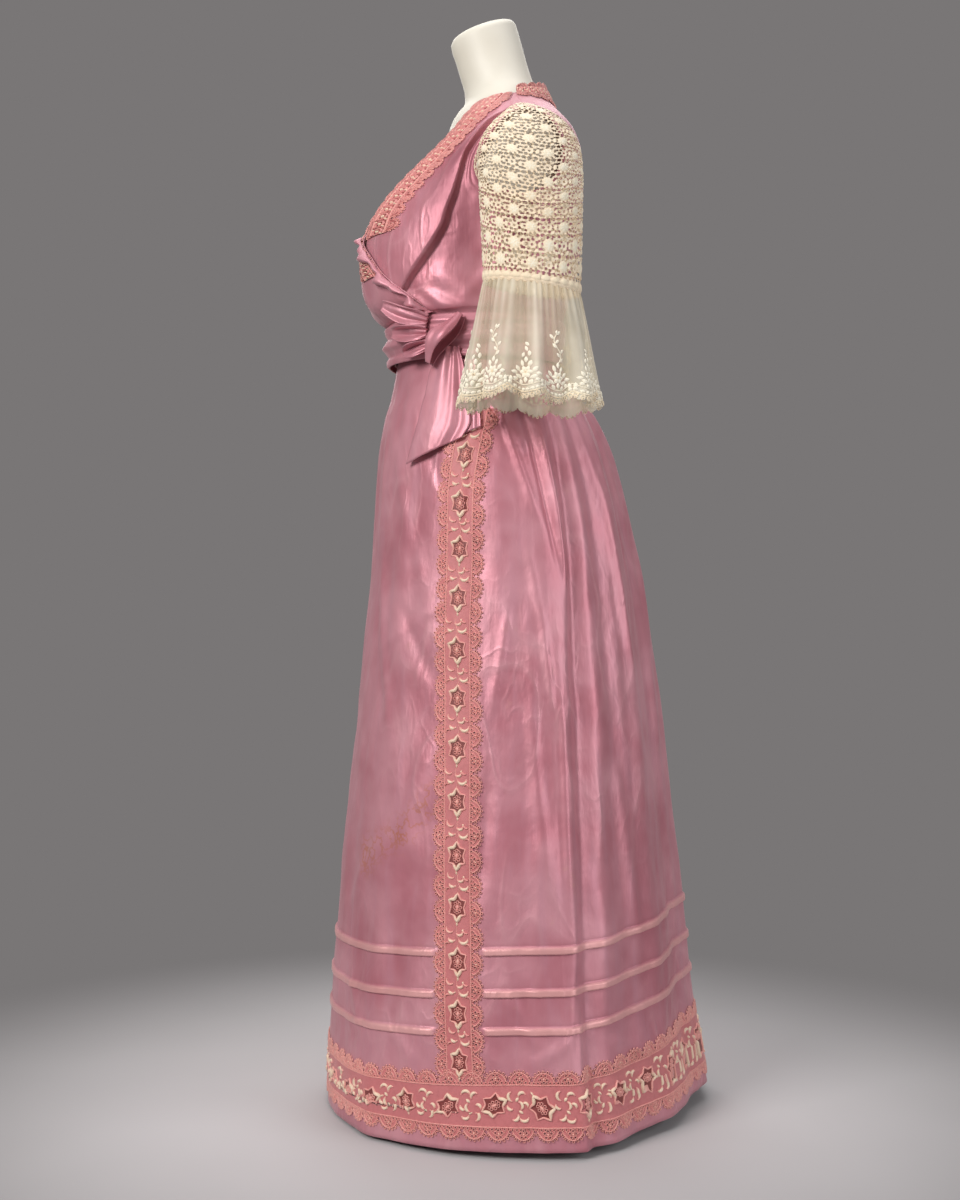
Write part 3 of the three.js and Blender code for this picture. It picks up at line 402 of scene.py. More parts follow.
def openwork(x, y, inside):
    """Cuts a flat grid along the curve where inside(x, y) is 0: points near it move on to it, along the
    slope there, and cells with their middle outside are left out. Gives the moved grid and the faces."""
    step, reach = 0.05, 0.6
    value = inside(x, y)
    slope_x = (inside(x + step, y) - inside(x - step, y)) / (2 * step)
    slope_y = (inside(x, y + step) - inside(x, y - step)) / (2 * step)
    cell = max(abs(x[0, 1] - x[0, 0]), abs(y[1, 0] - y[0, 0]))
    near = np.abs(value) < reach * cell
    move = np.where(near, value / np.maximum(slope_x**2 + slope_y**2, 0.2), 0)
    x2, y2 = x - move * slope_x, y - move * slope_y
    middle = lambda a: (a[1:, 1:] + a[:-1, 1:] + a[1:, :-1] + a[:-1, :-1]) / 4
    return x2, y2, cut_faces(inside(middle(x2), middle(y2)) > 0)


class Stitches:
    """Raised cords and pads drawn flat, as (x, y, lift) points with a tone each, laid on a surface later."""

    def __init__(self):
        self.points, self.faces, self.tones = np.zeros((0, 3)), np.zeros((0, 4), int), np.zeros(0)

    def add(self, points, faces, tone):
        """Adds a patch of points."""
        points = points.reshape(-1, 3)
        self.faces = np.r_[self.faces, faces.reshape(-1, 4) + len(self.points)]
        self.points = np.r_[self.points, points]
        self.tones = np.r_[self.tones, np.broadcast_to(tone, len(points))]

    def cord(self, x, y, wide, high, tone, closed=False, sides=2, base=0.0):
        """A half-round cord along a line: its profile is half an ellipse, `wide` to each side and `high`."""
        given = [np.asarray(v, float) for v in (x, y, wide, high, tone)]
        x, y, wide, high, tone = np.broadcast_arrays(*given)
        if closed:
            dx, dy = np.roll(x, -1) - np.roll(x, 1), np.roll(y, -1) - np.roll(y, 1)
        else:
            dx, dy = np.gradient(x), np.gradient(y)
        size = np.hypot(dx, dy)
        turn = np.linspace(0, np.pi, sides + 1)
        offset = wide[:, None] * np.cos(turn)
        grid_x = x[:, None] + (dy / size)[:, None] * offset
        grid_y = y[:, None] - (dx / size)[:, None] * offset
        grid = np.stack([grid_x, grid_y, base + high[:, None] * np.sin(turn)], -1)
        faces = grid_faces(len(x) + (1 if closed else 0), sides + 1) % grid[..., 0].size
        self.add(grid, faces[..., ::-1], np.repeat(tone, sides + 1))

    def ring(self, x, y, radius, wide, high, tone, steps=8, base=0.0):
        """A round cord."""
        turn = np.arange(steps) * 2 * np.pi / steps
        self.cord(x + radius * np.cos(turn), y + radius * np.sin(turn), wide, high, tone, True, 2, base)

    def pad(self, x, y, long, wide, high, turn, tone, base=0.0):
        """A leaf or petal: a dome with pointed ends, as wide and high as a power of sin of the way along."""
        rows, columns = 6, 5
        t = np.linspace(0.02, 0.98, rows)[:, None]
        s = np.linspace(-1, 1, columns)[None]
        body = np.sin(np.pi * t) ** 0.8
        px, py = (t - 0.5) * long + 0 * s, s * wide / 2 * body
        lift = base + high * np.sqrt(np.clip(1 - s * s, 0, 1)) * body
        c, sn = math.cos(turn), math.sin(turn)
        grid = np.stack([x + c * px - sn * py, y + sn * px + c * py, lift], -1)
        self.add(grid, grid_faces(rows, columns)[..., ::-1], tone)

    def tiled(self, x, y, turn=0.0, size=1.0, seed=0, wobble=0.0):
        """This drawing repeated at places, each turned and sized, and a little uneven by `wobble`."""
        x, y, turn, size = np.broadcast_arrays(*[np.asarray(v, float) for v in (x, y, turn, size)])
        random = np.random.default_rng(seed)
        turn = turn + wobble * random.uniform(-1, 1, x.shape)
        size = size * (1 + 0.5 * wobble * random.uniform(-1, 1, x.shape))
        c, s = (np.cos(turn) * size)[:, None], (np.sin(turn) * size)[:, None]
        px, py, lift = self.points.T
        made = Stitches()
        grid_x, grid_y = x[:, None] + c * px - s * py, y[:, None] + s * px + c * py
        made.points = np.stack([grid_x, grid_y, np.broadcast_to(lift, grid_x.shape)], -1).reshape(-1, 3)
        made.faces = (self.faces[None] + (np.arange(len(x)) * len(px))[:, None, None]).reshape(-1, 4)
        made.tones = np.tile(self.tones, len(x))
        return made

    def __add__(self, other):
        both = Stitches()
        both.points = np.r_[self.points, other.points]
        both.faces = np.r_[self.faces, other.faces + len(self.points)]
        both.tones = np.r_[self.tones, other.tones]
        return both

    def sewn(self, name, place, finish, mirrored=False):
        """The stitches as a piece on the surface that place(x, y, lift) gives."""
        return piece(name, place(*self.points.T), self.faces, finish, (), self.tones, mirrored)


# ------------------------------------------------------------------ finishes
# Rusty stains, and painted shade (darker satin) under the left arm: x, y, z and radius, and strength.
STAINS = [
    (187, -112, 448, 34, 0.7), (169, -129, 424, 30, 0.6), (151, -145, 400, 36, 0.7),
    (122, -161, 383, 34, 0.6), (92, -178, 365, 44, 0.7), (216, 8, 800, 7, 0.7), (214, 10, 786, 6, 0.6),
]
# painted shade: darker satin under the left arm, behind the long fold of the left front
PAINTED_SHADE_SPOTS = [(142, -52, 1290, 66, 0.7), (136, -66, 1240, 84, 0.85), (128, -78, 1185, 56, 0.75)]


class Signal:
    """An output of a shader node, with the operators of numbers."""

    def __init__(self, finish, socket):
        self.finish, self.socket = finish, socket

    def _math(self, operation, *values):
        return self.finish.node("ShaderNodeMath", {"operation": operation}, *values)

    def __add__(self, other):
        return self._math("ADD", self, other)

    def __sub__(self, other):
        return self._math("SUBTRACT", self, other)

    def __rsub__(self, other):
        return self._math("SUBTRACT", other, self)

    def __mul__(self, other):
        return self._math("MULTIPLY", self, other)

    __radd__, __rmul__ = __add__, __mul__

    def held(self):
        """This value between 0 and 1."""
        return self.finish.node("ShaderNodeClamp", {}, self)

    def ridged(self, sharp):
        """1 where this value crosses a half, falling off sharply to both sides: a net of fine lines."""
        gap = self._math("ABSOLUTE", self - 0.5)
        return (1 - gap * sharp).held()

    def ramped(self, low, high, to_low=0.0, to_high=1.0):
        """This value mapped from low..high to to_low..to_high, with soft ends."""
        settings = {"interpolation_type": "SMOOTHSTEP"}
        return self.finish.node("ShaderNodeMapRange", settings, self, low, high, to_low, to_high)


class Finish:
    """A material under construction."""

    def __init__(self, name, **fixed):
        self.material = bpy.data.materials.new(name)
        self.material.use_nodes = True
        self.tree = self.material.node_tree
        self.shader = self.tree.nodes["Principled BSDF"]
        for socket, value in fixed.items():
            self.shader.inputs[socket.replace("_", " ")].default_value = value
        self.place = self.node("ShaderNodeTexCoord", {}, output="Object")

    def node(self, kind, settings, *values, output=0, **named):
        """A node with its settings, then the values or links of its sockets, by place or by name."""
        made = self.tree.nodes.new(kind)
        for name, value in settings.items():
            setattr(made, name, value)
        for key, value in [*enumerate(values), *named.items()]:
            socket = made.inputs[key.replace("_", " ") if isinstance(key, str) else key]
            if isinstance(value, Signal):
                self.tree.links.new(value.socket, socket)
            elif value is not None:
                socket.default_value = value
        return Signal(self, made.outputs[output])

    def stretched(self, x, y, z):
        """Object coordinates scaled along each axis."""
        return self.node("ShaderNodeMapping", {}, self.place, Scale=(x, y, z))

    def tone(self):
        """The piece's own tone."""
        return self.node("ShaderNodeAttribute", {"attribute_name": "tone"}, output="Fac")

    def noise(self, scale, detail=2.0, rough=0.5, where=None):
        """Uneven value about 0.5."""
        where = where or self.place
        return self.node("ShaderNodeTexNoise", {}, Vector=where, Scale=scale, Detail=detail, Roughness=rough)

    def blend(self, low, high, factor):
        """One colour into another. The Mix node's sockets for colours are 6 and 7, and its result is 2."""
        colours = [c if isinstance(c, Signal) else (*c, 1) for c in (low, high)]
        between = [None] * 5
        return self.node("ShaderNodeMix", {"data_type": "RGBA"}, factor, *between, *colours, output=2)

    def near(self, x, y, z, radius):
        """1 at a point given in mm, fading to 0 at a radius."""
        point = (x * MM, y * MM, z * MM)
        gap = self.node("ShaderNodeVectorMath", {"operation": "DISTANCE"}, self.place, point, output="Value")
        return gap.ramped(0.0, radius * MM, 1.0, 0.0)

    def set(self, **links):
        """Links signals to the shader's own sockets."""
        for socket, value in links.items():
            self.tree.links.new(value.socket, self.shader.inputs[socket.replace("_", " ")])
        return self

    def bump(self, height, distance, strength=1.0):
        """A bump that feeds the shader's normal. distance is in mm."""
        made = self.node("ShaderNodeBump", {}, Strength=strength, Distance=distance * MM, Height=height)
        self.tree.links.new(made.socket, self.shader.inputs["Normal"])
        return self


def srgb(r, g, b):
    """A colour given as a maker's 0-255 swatch, as linear light."""
    return tuple(((c / 255 + 0.055) / 1.055) ** 2.4 for c in (r, g, b))


def satin():
    """Dusty rose silk satin: cloudy colour, fine warp streaks, a net of fine creases painted paler along
    their lines as a painted highlight, tucks painted paler as a painted highlight where tone is 1, painted
    shade under the arm and a few rusty stains."""
    f = Finish("silk_satin", Roughness=0.44, Metallic=0.3, Sheen_Weight=0.25, Sheen_Roughness=0.4, IOR=1.45)
    f.shader.inputs["Sheen Tint"].default_value = (*srgb(250, 222, 226), 1)
    clouds = f.noise(8.0, 3.0, 0.6)
    warp = f.noise(1.0, 3.0, 0.6, f.stretched(420, 420, 9))
    streak = f.noise(1.0, 2.0, 0.5, f.stretched(60, 60, 5))
    crushed = f.noise(4.2, 2.0).ramped(0.38, 0.62, 0.2, 1.0)
    long_creases = f.noise(12.0, 1.0, 0.5, f.stretched(1, 1, 0.42)).ridged(32.0) * crushed
    short_creases = f.noise(27.0, 1.5, 0.5, f.stretched(1, 1, 0.6)).ridged(18.0) * crushed
    colour = f.blend(srgb(188, 116, 128), srgb(208, 146, 157), clouds.ramped(0.3, 0.7))
    colour = f.blend(colour, srgb(198, 140, 154), streak.ramped(0.45, 0.75, 0.0, 0.4))
    worn = f.noise(26.0, 4.0, 0.7).ramped(0.62, 0.8, 0.0, 0.4)
    colour = f.blend(colour, srgb(202, 148, 138), worn)
    # painted highlight: paler colour along the lines of the fine creases
    colour = f.blend(colour, srgb(226, 176, 182), long_creases * 0.2 + short_creases * 0.1)
    # painted highlight: tucks paler where they stand out, read from the tone attribute
    colour = f.blend(colour, srgb(234, 176, 170), f.tone() * 0.65)
    # painted shade: darker satin under the left arm
    for x, y, z, radius, strength in PAINTED_SHADE_SPOTS:
        colour = f.blend(colour, srgb(150, 86, 98), f.near(x, y, z, radius) * strength)
    patchy = f.noise(70.0, 4.0).ridged(14).ramped(0.1, 0.9)
    for x, y, z, radius, strength in STAINS:
        colour = f.blend(colour, srgb(186, 112, 70), f.near(x, y, z, radius) * patchy * strength)
    f.set(Base_Color=colour, Roughness=clouds.ramped(0.2, 0.8, 0.38, 0.52))
    soft = f.noise(7.0, 2.0) * 1.3 + f.noise(19.0, 3.0) * 0.7
    crumpled = f.noise(38.0, 3.0, 0.62, f.stretched(1, 1, 0.4)) * crushed * 0.8
    creased = long_creases * 0.26 + short_creases * 0.12 + crumpled
    return f.bump(warp * 0.06 + streak * 0.05 + creased + soft, 2.8, 0.8).material


def embroidery():
    """Silk cord and padding, threaded: brown-red at tone 0, rose at 0.4, salmon at 0.66, cream at 1."""
    f = Finish("embroidered_trim", Roughness=0.5, Sheen_Weight=0.3, Sheen_Roughness=0.4)
    mottled = f.tone() + (f.noise(170.0, 2.0) - 0.5) * 0.25
    colour = f.blend(srgb(120, 50, 46), srgb(198, 116, 118), mottled.ramped(0.0, 0.4))
    colour = f.blend(colour, srgb(230, 159, 150), mottled.ramped(0.42, 0.66))
    colour = f.blend(colour, srgb(234, 208, 182), mottled.ramped(0.7, 0.98))
    f.set(Base_Color=colour)
    return f.bump(f.noise(1400.0, 1.0), 0.35, 0.6).material


def lace():
    """Ecru cotton guipure: cream at its solid flowers, browner at its cut rims as painted shade, matt and
    threaded.
    """
    f = Finish("guipure_lace", Roughness=0.85, Sheen_Weight=0.15)
    tone = f.tone()
    aged = f.noise(14.0, 3.0).ramped(0.35, 0.75)
    # the browner colour at low tone is mostly painted shade at the rims of the lace's gaps
    colour = f.blend(srgb(190, 166, 128), srgb(240, 223, 198), tone.ramped(0.0, 0.2))
    colour = f.blend(colour, srgb(238, 224, 196), tone.ramped(0.2, 0.7))
    colour = f.blend(colour, srgb(224, 190, 148), aged * 0.35)
    colour = f.blend(colour, srgb(240, 232, 212), tone.ramped(0.7, 1.0))
    f.set(Base_Color=colour)
    return f.bump(f.noise(1100.0, 2.0), 0.5, 0.8).material


def net():
    """Sheer ivory net: half see-through, denser on its outward folds, where tone is 1, with a painted
    highlight on those folds and painted shade in the hollows between them.
    """
    f = Finish("net_frill", Roughness=0.8, Sheen_Weight=0.2)
    ridge, cloudy = f.tone(), f.noise(22.0, 3.0)
    # painted highlight on the outward folds and painted shade in the hollows, over random clouds
    light = (cloudy * 0.4 + ridge * 0.6).ramped(0.2, 0.8)
    dense = (cloudy * 0.3 + ridge * 0.7).ramped(0.1, 0.9, 0.26, 0.7)
    f.set(Base_Color=f.blend(srgb(204, 190, 158), srgb(240, 232, 212), light), Alpha=dense)
    return f.bump(f.noise(1500.0, 1.0), 0.3, 0.5).material


def shell():
    """Off-white covering of the dress form, a little uneven."""
    f = Finish("form_shell", Roughness=0.5)
    f.set(Base_Color=f.blend(srgb(212, 206, 191), srgb(225, 220, 207), f.noise(7.0, 3.0).ramped(0.3, 0.7)))
    return f.bump(f.noise(120.0, 3.0), 0.3, 0.25).material


def metal():
    """Grey painted steel."""
    f = Finish("stand_metal", Roughness=0.42, Metallic=0.4)
    f.set(Base_Color=f.blend(srgb(120, 120, 118), srgb(150, 150, 147), f.noise(60.0, 3.0).ramped(0.3, 0.7)))
    return f.bump(f.noise(500.0, 2.0), 0.1, 0.3).material


SATIN_FINISH, TRIM_FINISH, LACE_FINISH = satin(), embroidery(), lace()
NET_FINISH, SHELL_FINISH, METAL_FINISH = net(), shell(), metal()


# ------------------------------------------------------------------ skirt
CORE = 17  # half width of a side band between its two scalloped edges
BAND_MM_PER_DEGREE = 4.4
SKIRT_TOP = WAIST - 1.2
TURN_UP = table("height stand", [[HEM + 46, -2.4], [HEM + 3, -2.2], [HEM - 0.4, -1.1]])  # inside the hem
SKIRT_STEP, LEAST_STEP = 6.2, 1.2
TUCK_STEPS = (-0.3, 0.0, 0.7, 2.5, 5, 7.5, 9, 10, 11, 12.3, 14)  # rows of points at a tuck


def tuck_stand(height, angle):
    """Hand-run tucks: each stands out sharply at its lower edge and falls back to its row of stitches above,
    gathered a little, and lies flat under the side bands."""
    pucker = 1 + 0.12 * uneven(angle * MM_PER_DEGREE, height, 5, 30, 8)
    total = 0
    for low in TUCKS:
        rise = share(height, low, low + 0.7) * (1 - ease(height, low + TUCK_DEEP - 3.5, low + TUCK_DEEP))
        stitch = 0.5 * bell(height - low - TUCK_DEEP, 1.3)
        total = total + rise * TUCK_PROUD * pucker - stitch
    beside = np.abs(np.abs(angle) - band_angle(height)) * BAND_MM_PER_DEGREE
    return total * ease(beside, CORE + 13, CORE + 20)


def skirt_rows():
    """Heights of the rows of points up the skirt, and how far each stands off: the turned-up hem inside,
    then even steps with a few close rows at each tuck."""
    fine = [low + step for low in TUCKS for step in TUCK_STEPS]
    heights = np.unique(np.r_[np.arange(HEM, SKIRT_TOP, SKIRT_STEP), fine, SKIRT_TOP])
    heights = heights[np.isin(heights, fine) | (np.diff(heights, prepend=-9) > LEAST_STEP)]
    return np.r_[TURN_UP["height"], heights][:, None], np.r_[TURN_UP["stand"], 0 * heights][:, None]


def skirt_panel(word, start, end, columns):
    """One panel of the skirt between two seams, which are functions of the height."""
    nominal, stand = skirt_rows()
    angle = mix(start(nominal), end(nominal), np.linspace(0, 1, columns)[None])
    height = round_line(nominal, angle)
    tucks = tuck_stand(nominal, turned(angle))
    _, middle = section(SKIRT, angle, height)
    points = pushed_out(skirt(angle, height), middle, stand + tucks)
    # tone for the satin: a painted highlight on each tuck, paler the further it stands out
    tuck_highlight = (tucks / TUCK_PROUD).clip(0, 1)
    made = cloth(f"satin_skirt_{word}", points, SATIN_FINISH, [f"skirt_{word}"], tone=tuck_highlight)


def side_seam(side):
    """The side seam of one side, as an angle at each height."""
    return lambda height: side * band_angle(height)


def back_seam(side):
    """The seam at the centre back, seen from one side."""
    return lambda height: side * 180 + 0 * height


skirt_panel("front", side_seam(-1), side_seam(1), 134)
skirt_panel("back_left", side_seam(1), back_seam(1), 152)
skirt_panel("back_right", back_seam(-1), side_seam(-1), 152)


# ------------------------------------------------------------------ embroidered bands
SCALLOP_PITCH, SCALLOP_DEEP = 32, 15
BAND_FOOT, BAND_TOP = 98, 978  # heights
STAR_HEIGHTS = np.array([119, 179, 244, 312, 377, 445, 513, 578, 641, 709, 774, 834, 899, 956.0])
GROUND_TONE, TRIM = 0.36, "embroidered_trim"
SHARP = 1.7  # power that draws a star's points out


def star(wide=12.5, tall=17.5):
    """Padded six-pointed star: a cord that swells at its upper left and its foot round a brown-red floor,
    with a tan rosette of loops inside and a drop below."""
    drawn, steps, loops = Stitches(), 36, 8
    turn = np.arange(steps) * 2 * np.pi / steps
    point = np.abs((turn / (np.pi / 3)) % 1 - 0.5) * 2
    radius = mix(0.68, 1, point**SHARP)
    x, y = wide * radius * np.sin(turn), tall * radius * np.cos(turn)
    reach = np.array([0.02, 0.5, 0.98])[:, None]
    floor = np.stack([x * reach, y * reach, 0.3 + 0 * x * reach], -1)
    drawn.add(floor, grid_faces(3, steps, True), 0.06)
    upper_left, foot = np.radians(325), np.radians(172)
    swell = np.exp(4 * (np.cos(turn - upper_left) - 1)) + np.exp(5 * (np.cos(turn - foot) - 1))
    swell = swell.clip(0, 1)
    drawn.cord(x, y, 1.1 + 1.3 * swell, 1.9 + 2.0 * swell, 0.64 + 0.36 * swell, True, 4)
    for a in np.arange(loops) * 2 * np.pi / loops:
        drawn.ring(4.0 * math.sin(a), 6.6 * math.cos(a), 1.8, 0.6, 1.7, 0.66, 6, 0.3)
    drawn.pad(0, 0, 9, 4.6, 2.2, math.pi / 2, 0.74, 0.3)
    drawn.pad(0, -tall - 3.4, 6, 2.8, 2.2, math.pi / 2, 0.9)
    return drawn


def scroll(x, y, radius, start, end, swell=1.5, tone=0.9):
    """C-scroll: an arc of cord, thick and cream in its middle and thin and pink at its ends."""
    drawn = Stitches()
    t = np.linspace(0, 1, 12)
    turn = np.radians(mix(start, end, t))
    thick = np.sin(np.pi * (0.06 + 0.88 * t))
    arc_x, arc_y = x + radius * np.cos(turn), y + radius * np.sin(turn)
    drawn.cord(arc_x, arc_y, 0.6 + swell * thick, 1.1 + 1.7 * thick, mix(0.56, tone, thick), sides=3)
    return drawn


def between_stars():
    """Seven C-scrolls of uneven size, two beads and a thin stem that fill the space above a star."""
    drawn = Stitches()
    drawn.cord(1.4 * np.sin(np.linspace(0, 6, 9)), np.linspace(19, 43, 9), 0.6, 1.1, 0.6)
    for x, y, radius, start, end, swell, tone in (
        (7.7, 28.6, 5.8, 188, 366, 1.5, 1.0), (-7.4, 29.4, 4.2, 178, 325, 1.4, 0.95),
        (2.6, 37.2, 4.4, 205, 375, 1.2, 0.9), (-9.4, 41.0, 5.0, 150, 325, 0.9, 0.8),
        (11.5, 38.6, 3.6, 150, 300, 0.5, 0.62), (-12.6, 20.5, 3.4, 40, 200, 0.4, 0.6),
        (12.6, 18.5, 3.4, -20, 150, 0.4, 0.6),
    ):
        drawn += scroll(x, y, radius, start, end, swell, tone)
    drawn.pad(7.2, 38.8, 3.6, 3.4, 2.2, 0.4, 0.95)
    drawn.pad(-3.6, 26.5, 3.2, 2.4, 1.8, 0.8, 0.85)
    return drawn


def edging(count, seed, ground=0.46):
    """Scalloped edge of `count` scallops: x runs out from the band and y along it. A thin openwork ground
    holds an outer cord with picots, a flower of rings in each scallop and a row of rings along the band."""
    pitch, deep = SCALLOP_PITCH, SCALLOP_DEEP
    sector, small = 2 * np.pi / 5, 5.333  # of a flower's rings, and from ring to ring of the row

    def inside(x, y):
        along = (y % pitch) - pitch / 2
        rim = 4.0 + (deep - 4.8) * np.clip(1 - (along / 14.5) ** 2, 0.0, 1) ** 0.7 - x
        swing = ((np.arctan2(along, x - 7.4) / sector) % 1 - 0.5) * sector
        far = np.hypot(x - 7.4, along)
        eyelets = np.hypot(far * np.cos(swing) - 4.4, far * np.sin(swing)) - 1.5
        row = np.hypot(x - 2.3, (y % small) - 2.667) - 1.3
        return np.minimum(rim, np.minimum(eyelets, row))

    drawn = Stitches()
    x, y = np.meshgrid(np.arange(0.1, deep + 1, 1.6), np.arange(0, count * pitch + 0.1, 1.7777))
    x, y, faces = openwork(x, y, inside)
    drawn.add(np.stack([x, y, 0.15 + 0 * x], -1), faces, ground)
    one = Stitches()
    t = np.linspace(-1, 1, 21)
    rim_x = 3.0 + (deep - 4.2) * np.clip(1 - t**2, 0, 1) ** 0.7
    one.cord(rim_x, t * 13.8, 0.8, 1.7, 0.66)
    one.cord(rim_x * 0.62 + 0.8, t * 9.6, 0.5, 1.3, 0.6)
    for a in np.linspace(-1.25, 1.25, 7):
        one.ring(3.2 + (deep - 3.0) * math.cos(a) ** 0.8, 14.6 * math.sin(a), 1.5, 0.5, 1.4, 0.7, 6)
    for a in (np.arange(5) + 0.5) * sector:
        one.ring(7.2 + 4.0 * math.cos(a), 4.2 * math.sin(a), 1.9, 0.55, 1.6, 0.66, 7)
    one.pad(7.2, 0, 3.4, 3.2, 1.9, 0, 0.8)
    for y in np.arange(-13.333, 16, small):
        one.ring(2.1, y, 1.7, 0.5, 1.3, 0.64, 6)
    middles = (np.arange(count) + 0.5) * pitch
    drawn += one.tiled(np.zeros(count), middles, seed=seed, wobble=0.05)
    return drawn


def edged(low, high, x1, x2, scallops):
    """Scalloped edges and cords to both sides of a band that runs up from low to high between x1 and x2."""
    drawn = edging(scallops, 5).tiled([x2], [low], [0]) + edging(scallops, 5).tiled([x1], [high], [math.pi])
    return drawn + line(x1, low, x1, high) + line(x2, low, x2, high)


def line(x1, y1, x2, y2, wide=0.85, tone=0.6, every=7.0):
    """A cord along a straight line, with a point about every so many mm."""
    t = np.linspace(0, 1, max(int(math.hypot(x2 - x1, y2 - y1) / every), 2))
    drawn = Stitches()
    drawn.cord(mix(x1, x2, t), mix(y1, y2, t), wide, 1.5, tone, sides=3)
    return drawn


# How many mm of the skirt's round a degree takes at the side bands, at some heights.
BAND_HEIGHTS = np.arange(0, WAIST + 1, 20.0)
before, after = (section(SKIRT, band_angle(BAND_HEIGHTS) + step, BAND_HEIGHTS)[0] for step in (-0.5, 0.5))
BAND_DEGREES = np.linalg.norm(after - before, axis=-1)


def laid_on_skirt(angle, height, lift):
    """A point that stands off the skirt, square to it."""
    return skirt(angle, height) + normal_of(skirt, angle, height) * (LAID + lift)[..., None]


def on_band(side):
    """Places (x, y, lift) on the skirt beside a side band's middle: x across to the back, y the height."""
    def place(x, y, lift):
        return laid_on_skirt(side * (band_angle(y) + x / np.interp(y, BAND_HEIGHTS, BAND_DEGREES)), y, lift)
    return place


def strip(x1, x2, y1, y2, across, step, tone=GROUND_TONE, lift=0.2):
    """A flat woven ground: `across` points wide, with a row every `step` mm."""
    x, y = np.meshgrid(np.linspace(x1, x2, across), np.arange(y1, y2 + step, step).clip(None, y2))
    drawn = Stitches()
    drawn.add(np.stack([x, y, lift + 0 * x], -1), grid_faces(*x.shape), tone)
    return drawn


def laid_band(name, node, parts, place, mirrored, flat):
    """Sews on a band: its ground, which stands for the solid, then its edges and its stars."""
    ground, edges, stars = (
        part.sewn(f"{name}_{word}", place, TRIM_FINISH, mirrored)
        for word, part in zip(("ground", "edges", "stars"), parts)
    )
    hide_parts(node)
    flat[0] * MM
    flat[1] * MM


def side_band(side, word):
    """The band down one side of the skirt: ground, cords, scalloped edges, stars and scrolls."""
    scallops = int((BAND_TOP - BAND_FOOT) / SCALLOP_PITCH)
    top = BAND_FOOT + scallops * SCALLOP_PITCH
    ground = strip(-CORE, CORE, BAND_FOOT, top, 9, 6)
    edges = edged(BAND_FOOT, top, -CORE, CORE, scallops)
    stars = (star() + between_stars()).tiled(0 * STAR_HEIGHTS, STAR_HEIGHTS, seed=11, wobble=0.05)
    flat = (2 * CORE, top - BAND_FOOT)
    laid_band(f"band_{word}", f"band_{word}", (ground, edges, stars), on_band(side), side < 0, flat)


side_band(1, "left")
side_band(-1, "right")

HEM_LOW, HEM_HIGH = 31, 84  # heights of the hem border's two cords above the hem
HEM_MEASURED = 57.0  # height above the hem at which lengths round it are measured
HEM_STARS = 28
HEM_ANGLES = np.linspace(-180, 180, 1441)
HEM_ARC = arc_lengths(skirt(HEM_ANGLES, round_line(HEM + HEM_MEASURED, HEM_ANGLES)))
HEM_LENGTH = HEM_ARC[-1]
HEM_SEAMS = [0, np.interp(-60, HEM_ANGLES, HEM_ARC), np.interp(60, HEM_ANGLES, HEM_ARC), HEM_LENGTH]


def on_hem(x, y, lift):
    """Places (x, y, lift) on the skirt: x round it from the centre back by the wearer's right, y above the
    hem."""
    angle = np.interp(np.mod(x, HEM_LENGTH), HEM_ARC, HEM_ANGLES)
    return laid_on_skirt(angle, round_line(HEM + y, angle), lift)


def hem_scrolls():
    """A cluster of seven C-scrolls and two beads that stands between two stars of the hem."""
    drawn = Stitches()
    for x, y, start, radius in (
        (-5, 13, 100, 6), (7, 12, 20, 5), (-6, -12, 230, 5), (6, -13, 190, 6), (1, 1, 290, 5),
        (-9, 1, 150, 4), (9, 0, 330, 4),
    ):
        drawn += scroll(x, y, radius, start, start + 160, 1.4, 1.0)
    drawn.pad(0, 9, 7, 4, 2.4, 0.9, 1)
    drawn.pad(3, -7, 7, 4, 2.4, 2.4, 0.95)
    return drawn


def hem_border(word, a, b):
    """A length of the border round the hem, from a to b: the stars of the side bands turned every way."""
    middle, pitch = (HEM_LOW + HEM_HIGH) / 2, HEM_LENGTH / HEM_STARS
    x, y = np.meshgrid(np.linspace(a, b, int((b - a) / 5)), np.linspace(HEM_LOW, HEM_HIGH, 12))
    ground = Stitches()
    ground.add(np.stack([x, y, 0.2 + 0 * x], -1), grid_faces(*x.shape), GROUND_TONE)
    count = int(round((b - a) / (pitch / 2)))
    edge = edging(count, 7)
    edge.points = edge.points * [1.12, (b - a) / (count * SCALLOP_PITCH), 1]
    edges = edge.tiled([b], [HEM_HIGH], [math.pi / 2]) + edge.tiled([a], [HEM_LOW], [-math.pi / 2])
    edges += line(a, HEM_LOW, b, HEM_LOW) + line(a, HEM_HIGH, b, HEM_HIGH)
    places = (np.arange(HEM_STARS) + 0.5) * pitch
    places = places[(places > a) & (places < b)]
    random = np.random.default_rng(31)
    off, turn = random.uniform(-2, 2, len(places)), random.uniform(0, 2 * np.pi, len(places))
    stars = star(15, 17).tiled(places, middle + off, turn, seed=4, wobble=0.08)
    turn = random.choice([0, np.pi], len(places))
    stars += hem_scrolls().tiled(places + pitch / 2, np.full(len(places), middle), turn, seed=9, wobble=0.1)
    flat = (b - a, HEM_HIGH - HEM_LOW)
    laid_band(f"hem_{word}", f"hem_border_{word}", (ground, edges, stars), on_hem, False, flat)


for word, a, b in zip(("back_right", "front", "back_left"), HEM_SEAMS[:-1], HEM_SEAMS[1:]):
    hem_border(word, a, b)


# ------------------------------------------------------------------ bodice
def armhole_share(height):
    """Half width of the armhole at a height, as a share of its greatest."""
    t = (height - ARMHOLE["height"]) / ARMHOLE["rise"]
    return np.sqrt(np.clip(1 - t * t, 0, 1))


